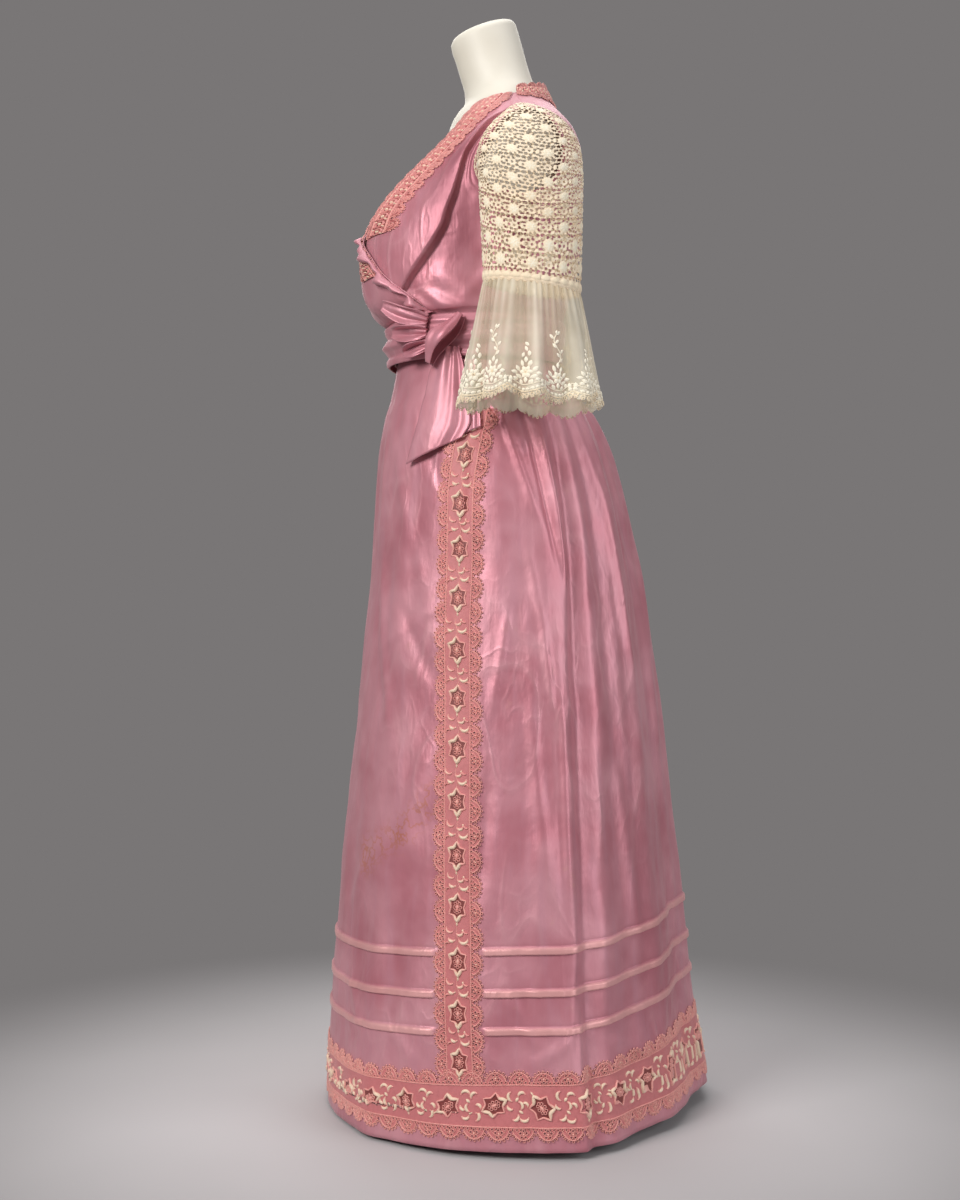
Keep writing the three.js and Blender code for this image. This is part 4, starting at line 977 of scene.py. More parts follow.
def front_net(rows, side):
    """Net of [angle, height, stand] of a front, from its free edge across to the side seam or armhole."""
    edge, trim, fold_a, fold_b = rows["edge"], rows["trim"], rows["fold_a"], rows["fold_b"]
    deep_a, deep_b = rows["deep_a"], rows["deep_b"]
    seam = SIDE - np.maximum(0.05, ARMHOLE["forward"] * armhole_share(rows["side_height"]))
    none = 0 * edge
    angles = [edge, (edge + trim) / 2, trim, (trim + fold_a) / 2, fold_a, (fold_a + fold_b) / 2, fold_b, seam]
    stands = [none, none, none, deep_a * 0.2, -deep_a, deep_a * 0.35, -deep_b, none]
    if side < 0:
        angles.insert(7, (fold_b + seam) / 2)
        stands.insert(7, none)
    angle, stand = np.stack(angles, 1), np.stack(stands, 1)
    t = (angle - edge[:, None]) / (seam - edge)[:, None]
    height = mix(rows["edge_height"][:, None], rows["side_height"][:, None], t)
    lapped = 1 - ease(height, 1208, 1226)
    over = (SATIN + 2.8) * (1 - ease(angle, 26, 50)) if side < 0 else -1.0 * (angle < 20)
    return np.stack([side * angle, height, stand + over * lapped], -1)


LEFT_NET, RIGHT_NET = front_net(LEFT_FRONT, 1), front_net(RIGHT_FRONT, -1)
BODICE_MM_PER_DEGREE = 2.6
BODICE_WALL, SASH_WALL, ROLL_WALL = 1.2, 1.1, 0.8  # thicknesses of the satin
# Creases of the bodice, as (angle, height) ends, width and depth.
BODICE_CREASES = [
    [56, 1150, 76, 1118, 9, 2], [52, 1130, 72, 1100, 7, -2], [84, 1150, 68, 1104, 8, 1.6],
    [40, 1130, 56, 1098, 6, -2.5],
    [-30, 1200, -52, 1110, 8, -3], [-40, 1260, -60, 1160, 9, 3], [-60, 1300, -50, 1180, 8, -4],
    [-70, 1220, -78, 1110, 7, 3], [-20, 1160, -44, 1100, 6, 2.4], [-84, 1170, -70, 1100, 6, -3],
    [110, 1230, 120, 1110, 8, 3], [130, 1290, 150, 1120, 9, -3], [160, 1240, 168, 1100, 9, 2.5],
    [-110, 1230, -120, 1110, 8, 2.6], [-134, 1280, -150, 1130, 9, -3], [-165, 1250, -170, 1110, 9, 2.2],
    [120, 1330, 140, 1240, 8, 2], [-122, 1330, -138, 1250, 8, 2],
]


def bodice_relief(angle, height):
    """Creases and soft unevenness of the bodice's satin."""
    x = angle * BODICE_MM_PER_DEGREE
    creases = creased(x, height, crease_rows(BODICE_CREASES, BODICE_MM_PER_DEGREE))
    soft = 0.9 * uneven(x, height, 36, 52, 12) + 0.3 * uneven(x, height, 15, 22, 13)
    return (creases + soft) * (1 - ease(height, 1320, 1390))


def main_fold(column, row, stand):
    """The long fold of the left front from the shoulder to the waist: a full smooth panel beside the trim
    that laps over with a sharp drop, the flatter satin behind it, and a soft pouf above the sash. stand is
    the net's own, which holds above and below the fold."""
    full = 6.0
    long_way = ease(row, 1.5, 4.5) * (1 - ease(row, 12.3, 14.6))
    deep = 3.5 + 3.5 * (1 - ease(row, 5, 13))
    rise, drop, recovery = ease(column, 2.1, 3.7), ease(column, 3.84, 3.98), ease(column, 5.8, 7.0)
    panel = full * rise - (full + deep) * drop + deep * recovery
    soft = 0.8 * np.sin(2.6 * column + 0.7 * row) * ease(column, 4.2, 5.2) * (1 - ease(column, 6.2, 7))
    pouf = 6.5 * bell(column - 5.0, 1.1) * bell(row - 1.9, 1.3)
    return mix(stand, panel + soft, long_way) + pouf


def on_front(net, bare=False):
    """Places (column, row, lift) on a front: its net gives the angle, height and stand of the satin. A bare
    front leaves out the creases and the long fold."""
    def place(column, row, lift):
        angle, height, stand = np.moveaxis(smooth_net(net, row, column), -1, 0)
        relief = 0 if bare else bodice_relief(angle, height) * ease(column, 1.6, 2.6)
        if net is LEFT_NET and not bare:
            stand = mix(stand, main_fold(column, row, stand), ease(column, 1.9, 2.2))
        out = SATIN + stand + relief + lift
        return bodice(angle, height) + normal_of(bodice, angle, height) * out[..., None]
    return place


def satin_piece(name, points, nodes, thick, closed=False, mirrored=False):
    """A cut of satin with a wall."""
    made = cloth(name, points, SATIN_FINISH, nodes, closed, mirrored, thick=thick)


def bodice_front(net, word, side):
    """One crossed front of the bodice."""
    rows, columns = np.linspace(0, len(net) - 1, 96), np.linspace(0, net.shape[1] - 1, 100)
    row, column = np.meshgrid(rows, columns, indexing="ij")
    points = on_front(net)(column, row, 0 * row)
    satin_piece(f"satin_front_{word}", points, [f"bodice_front_{word}"],
                BODICE_WALL, mirrored=side < 0)


bodice_front(LEFT_NET, "left", 1)
bodice_front(RIGHT_NET, "right", -1)


def rolled_edge():
    """The free edge of the right front, turned back in a narrow wavy roll from the crossing to the bow."""
    v, u = np.meshgrid(np.linspace(1.4, 6.25, 90), np.linspace(0, 1, 14), indexing="ij")
    wave = 1 + 0.3 * np.sin(5.2 * v + 1) + 0.16 * np.sin(12 * v)
    ends = ease(v, 1.2, 1.9) * (1 - 0.5 * ease(v, 5.9, 6.3))
    column = -0.1 + (0.6 * u + 0.06 * np.sin(4 * v)) * wave
    lift = 1.0 + 9.0 * np.sin(np.pi * (0.06 + 0.8 * u)) * wave * ends
    points = on_front(RIGHT_NET)(column, v, lift)
    satin_piece("satin_front_right_roll", points, [],
                ROLL_WALL, mirrored=True)


rolled_edge()


def on_back(u, row, lift):
    """Places (u, row, lift) on the bodice's back: u from the left armhole to the right."""
    rows = np.arange(len(LEFT_FRONT["side_height"]))
    side_height = through(rows, LEFT_FRONT["side_height"], row)
    start = SIDE + np.maximum(0.05, ARMHOLE["backward"] * armhole_share(side_height))
    angle = mix(start, 360 - start, u)
    height = side_height + NAPE_RISE * np.sin(np.pi * u) * ease(row, rows[-2], rows[-1])
    out = SATIN + lift + bodice_relief(turned(angle), height)
    return bodice(angle, height) + normal_of(bodice, angle, height) * out[..., None]


def bodice_back():
    """The back of the bodice, from armhole to armhole and up to the nape."""
    u, row = np.meshgrid(np.linspace(0, 1, 100), np.linspace(0, len(LEFT_NET) - 1, 88))
    satin_piece("satin_bodice_back", on_back(u, row, 0 * u), ["bodice_back"],
                BODICE_WALL)


bodice_back()


# ------------------------------------------------------------------ neck trims and collar
NECK_HALF, EYELET_HALF = 15.5, 6.4  # half widths of the whole braid and of its middle
EDGE_SIZE, KNOT_PITCH = 0.6, 11  # size of its scalloped edges against those of the skirt's bands


def eyelet_band(length, seed):
    """The ground and the raised work of an openwork braid: two scalloped edges, two cords, and between them
    a chain of rings with a cream knot each on a brown-red ground. x is across, from -NECK_HALF to NECK_HALF,
    and y along."""
    count = int(length / (SCALLOP_PITCH * EDGE_SIZE))
    fit = length / (count * SCALLOP_PITCH * EDGE_SIZE)
    ground = strip(-EYELET_HALF, EYELET_HALF, 0, length, 5, 6, 0.06)
    edge = edging(count, seed, 0.16)
    edge.points = edge.points * [EDGE_SIZE, EDGE_SIZE * fit, 1.2]
    edge.tones = edge.tones * 0.86
    drawn = edge.tiled([EYELET_HALF], [0], [0]) + edge.tiled([-EYELET_HALF], [length], [math.pi])
    for x in (-EYELET_HALF, EYELET_HALF):
        drawn += line(x, 0, x, length, 1.0, 0.66, 5)
    one = Stitches()
    one.ring(0, 0, 4.1, 0.8, 2.4, 0.55, 10, 0.2)
    one.pad(0, 0, 4.4, 2.6, 2.6, math.pi / 2, 1.0, 0.3)
    for k in range(4):
        a = math.pi / 4 + k * math.pi / 2
        one.pad(6 * math.cos(a), 5.6 * math.sin(a), 3.8, 1.8, 2.4, a, 0.95 if k % 2 else 0.5, 0.3)
    knots = int(length / KNOT_PITCH)
    drawn += one.tiled(np.zeros(knots), (np.arange(knots) + 0.5) * length / knots, seed=seed, wobble=0.2)
    return ground, drawn


def braid(name, length, seed, place, mirrored, rests_on):
    """A length of the openwork braid, sewn on. Its ground's flat width is its area, worked out from the
    diagonals of its quads, over its length."""
    ground, drawn = eyelet_band(length, seed)
    base = ground.sewn(f"{name}_ground", place, TRIM_FINISH, mirrored)
    raised = drawn.sewn(f"{name}_braid", place, TRIM_FINISH, mirrored)
    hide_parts(name)
    corners = place(*ground.points.T)[ground.faces]
    diagonals = np.cross(corners[:, 2] - corners[:, 0], corners[:, 3] - corners[:, 1])
    wide = float(np.linalg.norm(diagonals, axis=-1).sum() / 2 / length)


def neck_trim(net, word, side, first):
    """Trim along the free edge of a front, from a row of its net up to the shoulder."""
    surface = on_front(net, bare=True)
    rows = np.linspace(first, len(net) - 1, 60)
    arc = arc_lengths(surface(1 + 0 * rows, rows, 0 * rows))

    def place(x, y, lift):
        return surface(1 + x / NECK_HALF * 1.06, np.interp(y, arc, rows), LAID + lift)

    braid(f"neck_trim_{word}", arc[-1], 21 + side, place, side < 0, f"satin_front_{word}")


neck_trim(LEFT_NET, "left", 1, 6)
neck_trim(RIGHT_NET, "right", -1, 4)


def collar_back():
    """Small standing collar behind the neck: the same braid, bent from the back's top row up the neck, as a
    quadratic curve from its foot through its middle to its top."""
    last = len(LEFT_NET) - 1
    u = np.linspace(0, 1, 60)
    foot = on_back(u, last - 0.6 + 0 * u, LAID + 0 * u)
    angle = mix(SIDE + 2, 360 - SIDE - 2, u)
    height = 1416 + 19 * np.sin(np.pi * u)
    top = bodice(angle, height) + normal_of(bodice, angle, height) * (SATIN + LAID)
    arc = arc_lengths((foot + top) / 2)
    middle = (on_back(u, last + 0 * u, LAID + 0 * u) * 2 + foot + top) / 4
    out = unit(np.cross(np.gradient(middle, axis=0), top - foot))

    def place(x, y, lift):
        weights, picks = spline(len(u), np.interp(y, arc, u) * (len(u) - 1))
        pick = lambda grid: sum(w[..., None] * grid[k] for w, k in zip(weights, picks))
        s = ((x / NECK_HALF + 1) / 2)[..., None]
        low, high = pick(foot), pick(top)
        bent = pick(middle) * 2 - (low + high) / 2
        point = low * (1 - s) ** 2 + bent * (2 * s * (1 - s)) + high * s * s
        return point + pick(out) * (lift + 0.3)[..., None]

    braid("collar_back", arc[-1], 40, place, True, "satin_bodice_back")


collar_back()


# ------------------------------------------------------------------ lace sleeves
REPEATS, FLOWER, ROW = 18, 19.2, 20.5  # squares round a sleeve, and the width and height of one
LACE_ROUND = REPEATS * FLOWER
BRAID = 15  # height of the braid at the cuff
LACE_STAND = 1.0


def handed(point, mirrored):
    """A point of the left side, or the same of the right side."""
    return point * [-1, 1, 1] if mirrored else point


def sleeve_ring(k, turn):
    """Ring k of a left sleeve, 0 being the one that laps over the armhole. turn is 0 at its top or outside
    and 90 behind."""
    s, c = np.sin(np.radians(turn)), np.cos(np.radians(turn))
    if k == 0:
        angle = SIDE + (np.where(s < 0, ARMHOLE["forward"], ARMHOLE["backward"]) + 1.5) * s
        height = ARMHOLE["height"] + (ARMHOLE["rise"] + 1.5) * c
        return bodice(angle, height) + normal_of(bodice, angle, height) * (SATIN + 1.9)
    at = {name: values[k - 1] for name, values in SLEEVE.items()}
    y = at["y"] + at["across"] * s
    slope = -CUFF_SLOPE * (y - at["y"]) if k == len(SLEEVE["x"]) else 0
    tilt, reach = math.radians(at["tilt"]), at["along"] * c
    return np.stack([at["x"] + reach * math.cos(tilt), y, at["height"] + reach * math.sin(tilt) + slope], -1)


def sleeve(turn, v):
    """A left sleeve at a turn round it and v from the armhole (0) to the cuff (1)."""
    turn, v = np.broadcast_arrays(turn, v)
    rings = np.stack([sleeve_ring(k, turn) for k in range(len(SLEEVE["x"]) + 1)])
    weights, picks = spline(len(rings), v * (len(rings) - 1))
    pick = lambda k: np.take_along_axis(rings, k[None, ..., None], 0)[0]
    return sum(w[..., None] * pick(k) for w, k in zip(weights, picks))


def sleeve_lengths(turns):
    """Lengths of the sleeve from armhole to cuff at turns round it."""
    lines = sleeve(turns[None], np.linspace(0, 1, 40)[:, None])
    return np.linalg.norm(np.diff(lines, axis=0), axis=-1).sum(0)


SLEEVE_TURNS = np.arange(0, 361, 4.0)
SLEEVE_LENGTHS = sleeve_lengths(SLEEVE_TURNS)


def sleeve_length(x):
    """Length of the sleeve from cuff to armhole at a place x round it."""
    return np.interp(np.mod(x, LACE_ROUND) / LACE_ROUND * 360, SLEEVE_TURNS, SLEEVE_LENGTHS)


def on_sleeve(mirrored):
    """Places (x, y, lift) on a sleeve: x round it from its outside to the back, y up from the cuff."""
    def at(x, y):
        v = 1 - np.clip(y, 0, None) / sleeve_length(x)
        point = sleeve(np.mod(x, LACE_ROUND) / LACE_ROUND * 360, np.clip(v, 0, 1))
        point[..., 2] += np.minimum(y, 0)
        return point

    def place(x, y, lift):
        below = np.minimum(y, sleeve_length(x) - 1.5)
        out = unit(np.cross(at(x + 0.5, y) - at(x - 0.5, y), at(x, below + 1) - at(x, below - 1)))
        return handed(at(x, y) + out * (lift + LACE_STAND)[..., None], mirrored)
    return place


def lace_place(x, y):
    """Where a point lies: x round the sleeve, x and y from its square's middle, its distance from there, and
    whether the square holds a flower."""
    x = x + 0.9 * uneven(x, y, 17, 15, 51)
    y = y + 0.9 * uneven(x, y, 15, 17, 52) - BRAID
    row, column = np.floor(y / ROW), np.floor(x / FLOWER)
    across, up = x - FLOWER * (column + 0.5), y - ROW * (row + 0.5)
    return x, across, up, np.hypot(across, up), np.mod(row + column, 2) > 0.5


def spokes(across, up, far, count, radius, hole):
    """Below 0 in a ring of holes round a square's middle."""
    sector = 2 * np.pi / count
    swing = (np.mod(np.arctan2(up, across) / sector, 1) - 0.5) * sector
    return np.hypot(far * np.cos(swing) - radius, far * np.sin(swing)) - hole


def lace_solid(x, y):
    """Above 0 in the lace, below 0 in its gaps: rings of gaps in each square, gaps at its corners, a row of
    larger eyelets between the rows and one of holes in the braid, but none beside the armhole."""
    along, across, up, far, flower = lace_place(x, y)
    closed = spokes(across, up, far, 9, 7.9, 1.4)
    opened = np.minimum(spokes(across, up, far, 7, 6.0, 1.8), far - 1.5)
    corner = np.hypot(np.abs(across) - FLOWER / 2 + 1.1, np.abs(up) - 4.6) - 1.5
    eyelet = np.hypot((np.mod(along, 6.4) - 3.2) * 0.8, np.abs(up) - ROW / 2) - 2.15
    gaps = np.minimum(np.where(flower, closed, opened), np.minimum(corner, eyelet))
    braid_gap = np.hypot(np.mod(x, 7.2) - 3.6, (y - 13.4) * 1.1) - 1.6
    top = sleeve_length(x) - y
    gaps = np.where(y > BRAID, gaps, braid_gap)
    foot = y + 1.5 + 2.2 * np.abs(np.sin(np.pi * x / 10.8))
    return np.minimum(np.minimum(top, foot), np.maximum(gaps, 5 - top))


def lace_relief(x, y):
    """Lift and tone of the lace: domed flowers with petals, raised rings and bars, and ovals in the braid."""
    _, across, up, far, flower = lace_place(x, y)
    petals = 0.72 + 0.28 * np.cos(7 * np.arctan2(up, across))
    dome = np.clip(1 - (far / 6.2) ** 2, 0, 1) ** 0.4 * petals * np.where(flower, 1, 0.35)
    rings = bell(far - 9.0, 0.7) + np.where(flower, 0, 0.9) * bell(far - 4.4, 0.6)
    bars = bell(np.abs(across) - FLOWER / 2, 0.6) + bell(np.abs(up) - ROW / 2 + 2.2, 0.5)
    lift = 1.3 * dome + 0.9 * rings + 0.8 * bars
    tone = 0.3 + 0.65 * ease(dome, 0.15, 0.7) + 0.35 * rings + 0.25 * bars
    beads = np.clip(1 - ((np.mod(x, 12) - 6) / 5.4) ** 2 - ((y - 6.5) / 5) ** 2, 0, 1) ** 0.5
    braid_lift = 1.8 * beads + 0.8 * bell(y - 11.4, 0.7) + 0.8 * bell(y - 0.6, 0.8)
    braid = y < BRAID
    return np.where(braid, braid_lift, lift), np.where(braid, 0.15 + 0.5 * beads, tone).clip(0, 1)


def lace_sleeve(word, half, mirrored):
    """Half of a sleeve, cut through at the gaps of its lace."""
    start = LACE_ROUND / 2 if half == "front" else 0
    around = np.linspace(start, start + LACE_ROUND / 2, 145)
    x, y = np.meshgrid(around, np.arange(-4.5, SLEEVE_LENGTHS.max() + 3, 1.2))
    x2, y2, faces = openwork(x, y, lace_solid)
    x2[:, 0], x2[:, -1] = x[:, 0], x[:, -1]
    lift, tone = lace_relief(x2, y2)
    # tone falls to 0 at the rims of the gaps: painted shade round each hole
    tone = tone * ease(lace_solid(x2, y2), -0.3, 0.8)
    points = on_sleeve(mirrored)(x2, np.minimum(y2, sleeve_length(x2)), lift)
    node = f"sleeve_{word}_{half}"
    made = piece(f"lace_{node}", points, faces, LACE_FINISH, [node], tone, mirrored)


for word, mirrored in (("left", False), ("right", True)):
    for half in ("front", "back"):
        lace_sleeve(word, half, mirrored)


# ------------------------------------------------------------------ net frills
FRILL_ROUND, FRILL_LONG, FRILL_SCALLOPS = 485, 148, 12


def frill_folds(a):
    """Deep folds round a frill, above 0 where they stand out."""
    return np.cos(8 * a + 0.9 * np.sin(3 * a + 1)) + 0.45 * np.cos(15 * a + 2 + 0.6 * np.sin(2 * a))


def frill_gathers(a):
    """Small gathers round a frill, above 0 where they stand out."""
    return np.cos(44 * a + 2 * np.sin(5 * a))


def frill(turn, v):
    """A left frill at a turn round it and v from its gathers (0) to its hem (1): ovals that open out, with
    waves that grow to the hem, small gathers at the top and a hem that hangs unevenly, lowest inside."""
    a = np.radians(turn)
    s, c = np.sin(a), np.cos(a)
    wide = np.clip(v, 0, 1) ** 0.8
    wave = 8.8 * v**1.2 * frill_folds(a)
    wave = wave + 1.1 * (1 - v) ** 3 * frill_gathers(a) + 2.6 * v * (1 - v) * np.cos(21 * a + 1)
    x = mix(211, 240, wide) + (mix(43.5, 65, wide) + wave) * c
    y = mix(17, 8, v) + (mix(63.5, 86, wide) + wave) * s
    slope = -CUFF_SLOPE * (y - 17) * (1 - 0.8 * v)
    drop = 4.5 * (1 - c) + 3.2 * np.sin(3 * a + 1) + 1.6 * np.sin(5 * a)
    return np.stack([x, y, mix(FRILL_TOP, FRILL_HEM - drop, v) + slope], -1)


def frill_ridge(turn, v):
    """1 on the frill's outward folds and 0 in its hollows."""
    a = np.radians(turn)
    folds, gathers = frill_folds(a) * (0.4 + 0.6 * v), frill_gathers(a) * (1 - v)
    return (0.5 + 0.38 * folds + 0.15 * gathers).clip(0, 1)


def frill_edge(turn):
    """How far the scalloped hem drops below the frill's own line."""
    a = np.radians(turn)
    return 6 * np.abs(np.sin(FRILL_SCALLOPS / 2 * a)) + 3.4 * np.abs(np.sin(FRILL_SCALLOPS * 2.5 * a)) - 3


def on_frill(mirrored):
    """Places (x, y, lift) on a frill: x round it, y up from its hem."""
    def place(x, y, lift):
        turn, v = x / FRILL_ROUND * 360, 1 - y / FRILL_LONG
        around = frill(turn + 0.5, v) - frill(turn - 0.5, v)
        down = frill(turn, v + 0.01) - frill(turn, v - 0.01)
        out = unit(np.cross(down, around))
        return handed(frill(turn, v) + out * (lift + 0.4)[..., None], mirrored)
    return place


def bouquet(tall):
    """Embroidered flowers over one scallop: a flower, leaves, buds and a sprig above, which climbs higher
    where tall."""
    drawn = Stitches()
    for k in range(6):
        a = k * np.pi / 3
        drawn.pad(4.8 * math.cos(a), 26 + 4.8 * math.sin(a), 7.4, 5.4, 1.3, a, 1)
    drawn.ring(0, 26, 1.3, 0.7, 1.5, 0.7, 6)
    for x, y, turn, long in (
        (-9, 20, 2.6, 9), (9, 20, 0.5, 9), (-10.5, 30, 2.2, 8), (10.5, 30, 0.9, 8), (-5, 37, 1.9, 8),
        (5, 37, 1.2, 8), (0, 16, 1.57, 7), (-6, 13.5, 2.2, 6), (6, 13.5, 0.9, 6), (-14.5, 25, 2.9, 6),
        (14.5, 25, 0.25, 6), (-13, 17, 2.5, 5), (13, 17, 0.6, 5), (0, 42, 1.57, 7),
    ):
        drawn.pad(x, y, long * 1.15, 4.9, 1.2, turn, 1)
    if tall:
        t = np.linspace(0, 1, 14)
        x, y = 5 * np.sin(t * 6), mix(44, 82, t)
        drawn.cord(x, y, 0.7, 0.9, 0.85)
        for k in range(1, 14, 2):
            side = 1 if k % 4 == 1 else -1
            drawn.pad(x[k] + side * 3.6, y[k] + 2.4, 8, 4.2, 1.0, math.pi / 2 - side * 0.8, 1)
        drawn.pad(x[-1], y[-1] + 3, 6, 3.6, 1, 1.4, 1)
    else:
        for k, (x, y) in enumerate(((-4, 48), (4, 50), (0, 56), (1, 62))):
            drawn.pad(x, y, 7.5, 4.4, 1.0, 1.2 + 0.4 * k, 1)
    return drawn


def hem_festoon():
    """The worked edge of one scallop: a swag of cord, a chain of small flowers and a picot edge."""
    drawn = Stitches()
    half = FRILL_ROUND / FRILL_SCALLOPS / 2
    t = np.linspace(-1, 1, 15)
    sag = 9.5 * (1 - t**2)
    drawn.cord(t * half, 19 - sag, 0.7, 0.9, 0.9)
    drawn.cord(t * half, 9.5 - sag * 0.9, 0.9, 1.0, 0.8)
    for place in np.linspace(-0.9, 0.9, 8):
        drop = 9.5 * (1 - place**2)
        drawn.pad(place * half, 13.4 - drop, 5.2, 3.8, 1.1, place * 1.2, 1)
        drawn.ring(place * half, 6.2 - drop, 1.9, 0.7, 1.0, 0.6, 6)
        drawn.ring(place * half, 3.2 - drop, 1.2, 0.5, 0.8, 0.4, 5)
    for x in (-half + 2.5, half - 2.5):
        drawn.pad(x, 16, 8, 3.8, 1.1, math.pi / 2, 1)
    return drawn


def net_frill(word, mirrored):
    """One frill: the net and its embroidery."""
    turn, v = np.meshgrid(np.linspace(0, 360, 301)[:-1], np.linspace(0, 1, 34))
    points = frill(turn, v)
    points[..., 2] -= frill_edge(turn) * ease(v, 0.9, 1)
    # tone: painted highlight on the outward folds, painted shade in the hollows, and a denser, paler band at
    # the hem
    tone = (0.85 * frill_ridge(turn, v) + 0.5 * ease(v, 0.9, 0.96)).clip(0, 1)
    made = cloth(f"net_frill_{word}", handed(points, mirrored), NET_FINISH, [f"frill_{word}"], closed=True,
                 mirrored=not mirrored, tone=tone)
    pitch = FRILL_ROUND / FRILL_SCALLOPS
    middles = (np.arange(FRILL_SCALLOPS) + 0.5) * pitch
    flat = np.zeros(FRILL_SCALLOPS)
    work = hem_festoon().tiled(middles, flat)
    work += bouquet(True).tiled(middles[::2], flat[::2], seed=2, wobble=0.04)
    work += bouquet(False).tiled(middles[1::2], flat[1::2], seed=3, wobble=0.04)
    flowers = work.sewn(f"net_frill_{word}_embroidery", on_frill(mirrored), LACE_FINISH, mirrored)


net_frill("left", False)
net_frill("right", True)


# ------------------------------------------------------------------ sash and bow
SASH_LOW, SASH_HIGH = 1033, 1092  # heights


def on_figure(angle, height, out):
    """A point that stands some mm off the bodice, or off the skirt below the waist."""
    angle, height = np.broadcast_arrays(angle, height)
    low, low_middle = section(SKIRT, angle, height)
    low = pushed_out(low, low_middle, fold_stand(turned(angle), height))
    high, _ = section(BODICE, angle, height)
    middle = through(BODICE["height"], BODICE["side"], np.maximum(height, WAIST))
    point = np.where((height < WAIST)[..., None], low, high)
    return pushed_out(point, middle, out + 0 * height)


def sash_stand(angle, height):
    """How far the sash stands off: a belly with uneven pleats, fuller in front than behind."""
    t = share(height, SASH_LOW, SASH_HIGH)
    belly = np.sin(np.pi * (0.12 + 0.76 * t))
    a = np.radians(angle)
    phase = 5 * np.pi * t + 0.6 * np.sin(2 * a) + 0.35 * np.sin(5 * a + 1) + 0.4 * np.sin(np.pi * t)
    pleats = 2.5 * np.sin(phase) * (1 + 0.3 * np.sin(3 * a + 2)) + 0.6 * np.sin(2.7 * phase + 2 * a)
    fullness = mix(0.35, 1, (1 + np.cos(a)) / 2)
    return SATIN + 0.4 + (4 + 11 * belly + pleats) * fullness


def on_sash(angle, height, out):
    """A point inside the sash (out 0) or some mm off that."""
    return on_figure(angle, height, sash_stand(angle, np.clip(height, SASH_LOW, SASH_HIGH)) + out)


def sash_piece(name, points, node, closed=False, mirrored=False):
    """A cut of the sash or its bow."""
    satin_piece(name, points, [node], SASH_WALL, closed, mirrored)


def sash():
    """The draped sash round the waist."""
    angle, height = np.meshgrid(np.linspace(0, 360, 201)[:-1], np.linspace(SASH_LOW, SASH_HIGH, 30))
    points = on_sash(turned(angle), height, SATIN + 0 * angle)
    sash_piece("satin_sash", points, "sash_belt", closed=True)


sash()

RIBBON = "angle_a height_a angle_b height_b out"
TAIL_FRONT = table(RIBBON, [
    [53, 1046, 65, 1046, 18], [45, 1012, 66.5, 1012, 13], [39, 945, 66.5, 948, 10.5], [33, 889, 62, 922, 9],
])
TAIL_BACK = table(RIBBON, [
    [62, 1028, 74, 1029.5, 9.6], [63, 1004, 73, 1006, 7.4],
    [64, 960, 71.5, 962, 6.8], [63.5, 928, 71, 936, 6.4],
])


def ribbon_tail(name, rows, node, flat):
    """A hanging end of the sash: both edges run through a table's rows, with soft flutes between them."""
    u, v = np.meshgrid(np.linspace(0, 1, 36), np.linspace(0, 1, 40))
    at = {k: through(np.arange(len(x)), x, v * (len(x) - 1)) for k, x in rows.items()}
    flutes = 2.4 * np.sin(1.7 * np.pi * u + 0.4 * v) + (1 - v) ** 2 * 1.8 * np.sin(5.5 * np.pi * u + 2 * v)
    ridge, valley = 2.0 * bell(u - 0.72 + 0.12 * v, 0.07), 1.8 * bell(u - 0.86 + 0.06 * v, 0.06)
    flutes = (flutes * np.sin(np.pi * u) + ridge - valley) * min(1, flat[0] / WIDE_TAIL)
    points = on_figure(mix(at["angle_a"], at["angle_b"], u), mix(at["height_a"], at["height_b"], u),
                       at["out"] + SATIN + flutes)
    sash_piece(name, points, node, mirrored=True)


WIDE_TAIL = 0.075  # width in m from which a tail has its full flutes
ribbon_tail("satin_tail_front", TAIL_FRONT, "sash_tail_front", (WIDE_TAIL, 0.16))
ribbon_tail("satin_tail_back", TAIL_BACK, "sash_tail_back", (0.03, 0.11))

LOOP_TOP, LOOP_TIP = (67, 1087, 6.6), (48, 1022, 15.1)  # angle, height and how far out


def frame_between(a, b, angle, height):
    """Two ends on the sash, and the directions across and away from the line between them."""
    start, end = (on_sash(*(np.array([float(x)]) for x in p))[0] for p in (a, b))
    along = unit(end - start)
    across = unit(np.cross(along, normal_of(bodice, np.array([float(angle)]), np.array([float(height)]))[0]))
    return start, end, across, np.cross(across, along)


def rolled_loop():
    """The bow's rolled loop: most of a tube that swells between its ends, with small twisted pleats."""
    start, end, across, away = frame_between(LOOP_TOP, LOOP_TIP, 58, 1060)
    u, v = np.meshgrid(np.linspace(0, 1, 40), np.linspace(0, 1, 44))
    bend = np.radians(mix(62, 318, u))
    pleat = 1 + 0.1 * np.sin(4 * bend + 5 * v) * np.sin(np.pi * v)
    radius = 11.5 * (0.42 + 0.95 * np.sin(np.pi * (0.1 + 0.8 * v)) ** 2) * pleat
    bow = 3.5 * np.sin(np.pi * v)
    sway = 3.5 * np.sin(2 * np.pi * v) - 2.5 * np.sin(np.pi * v)
    points = mix(start, end, v[..., None]) - across * (radius * np.cos(bend) + sway)[..., None]
    points = points + away * (radius * (np.sin(bend) * 0.8 + 0.35) + bow + 1.2)[..., None]
    sash_piece("satin_loop", points, "sash_loop", mirrored=True)


rolled_loop()
# The leaves: angle, height and how far out at root and tip, half width and depth of the cup.
LEAVES = [
    ((46, 1084, 4.2), (27, 1107, 17), 15, 6), ((45, 1068, 3.2), (21, 1072, 14), 14, 5),
    ((46, 1050, 6.2), (30, 1040, 12), 11, 4),
]


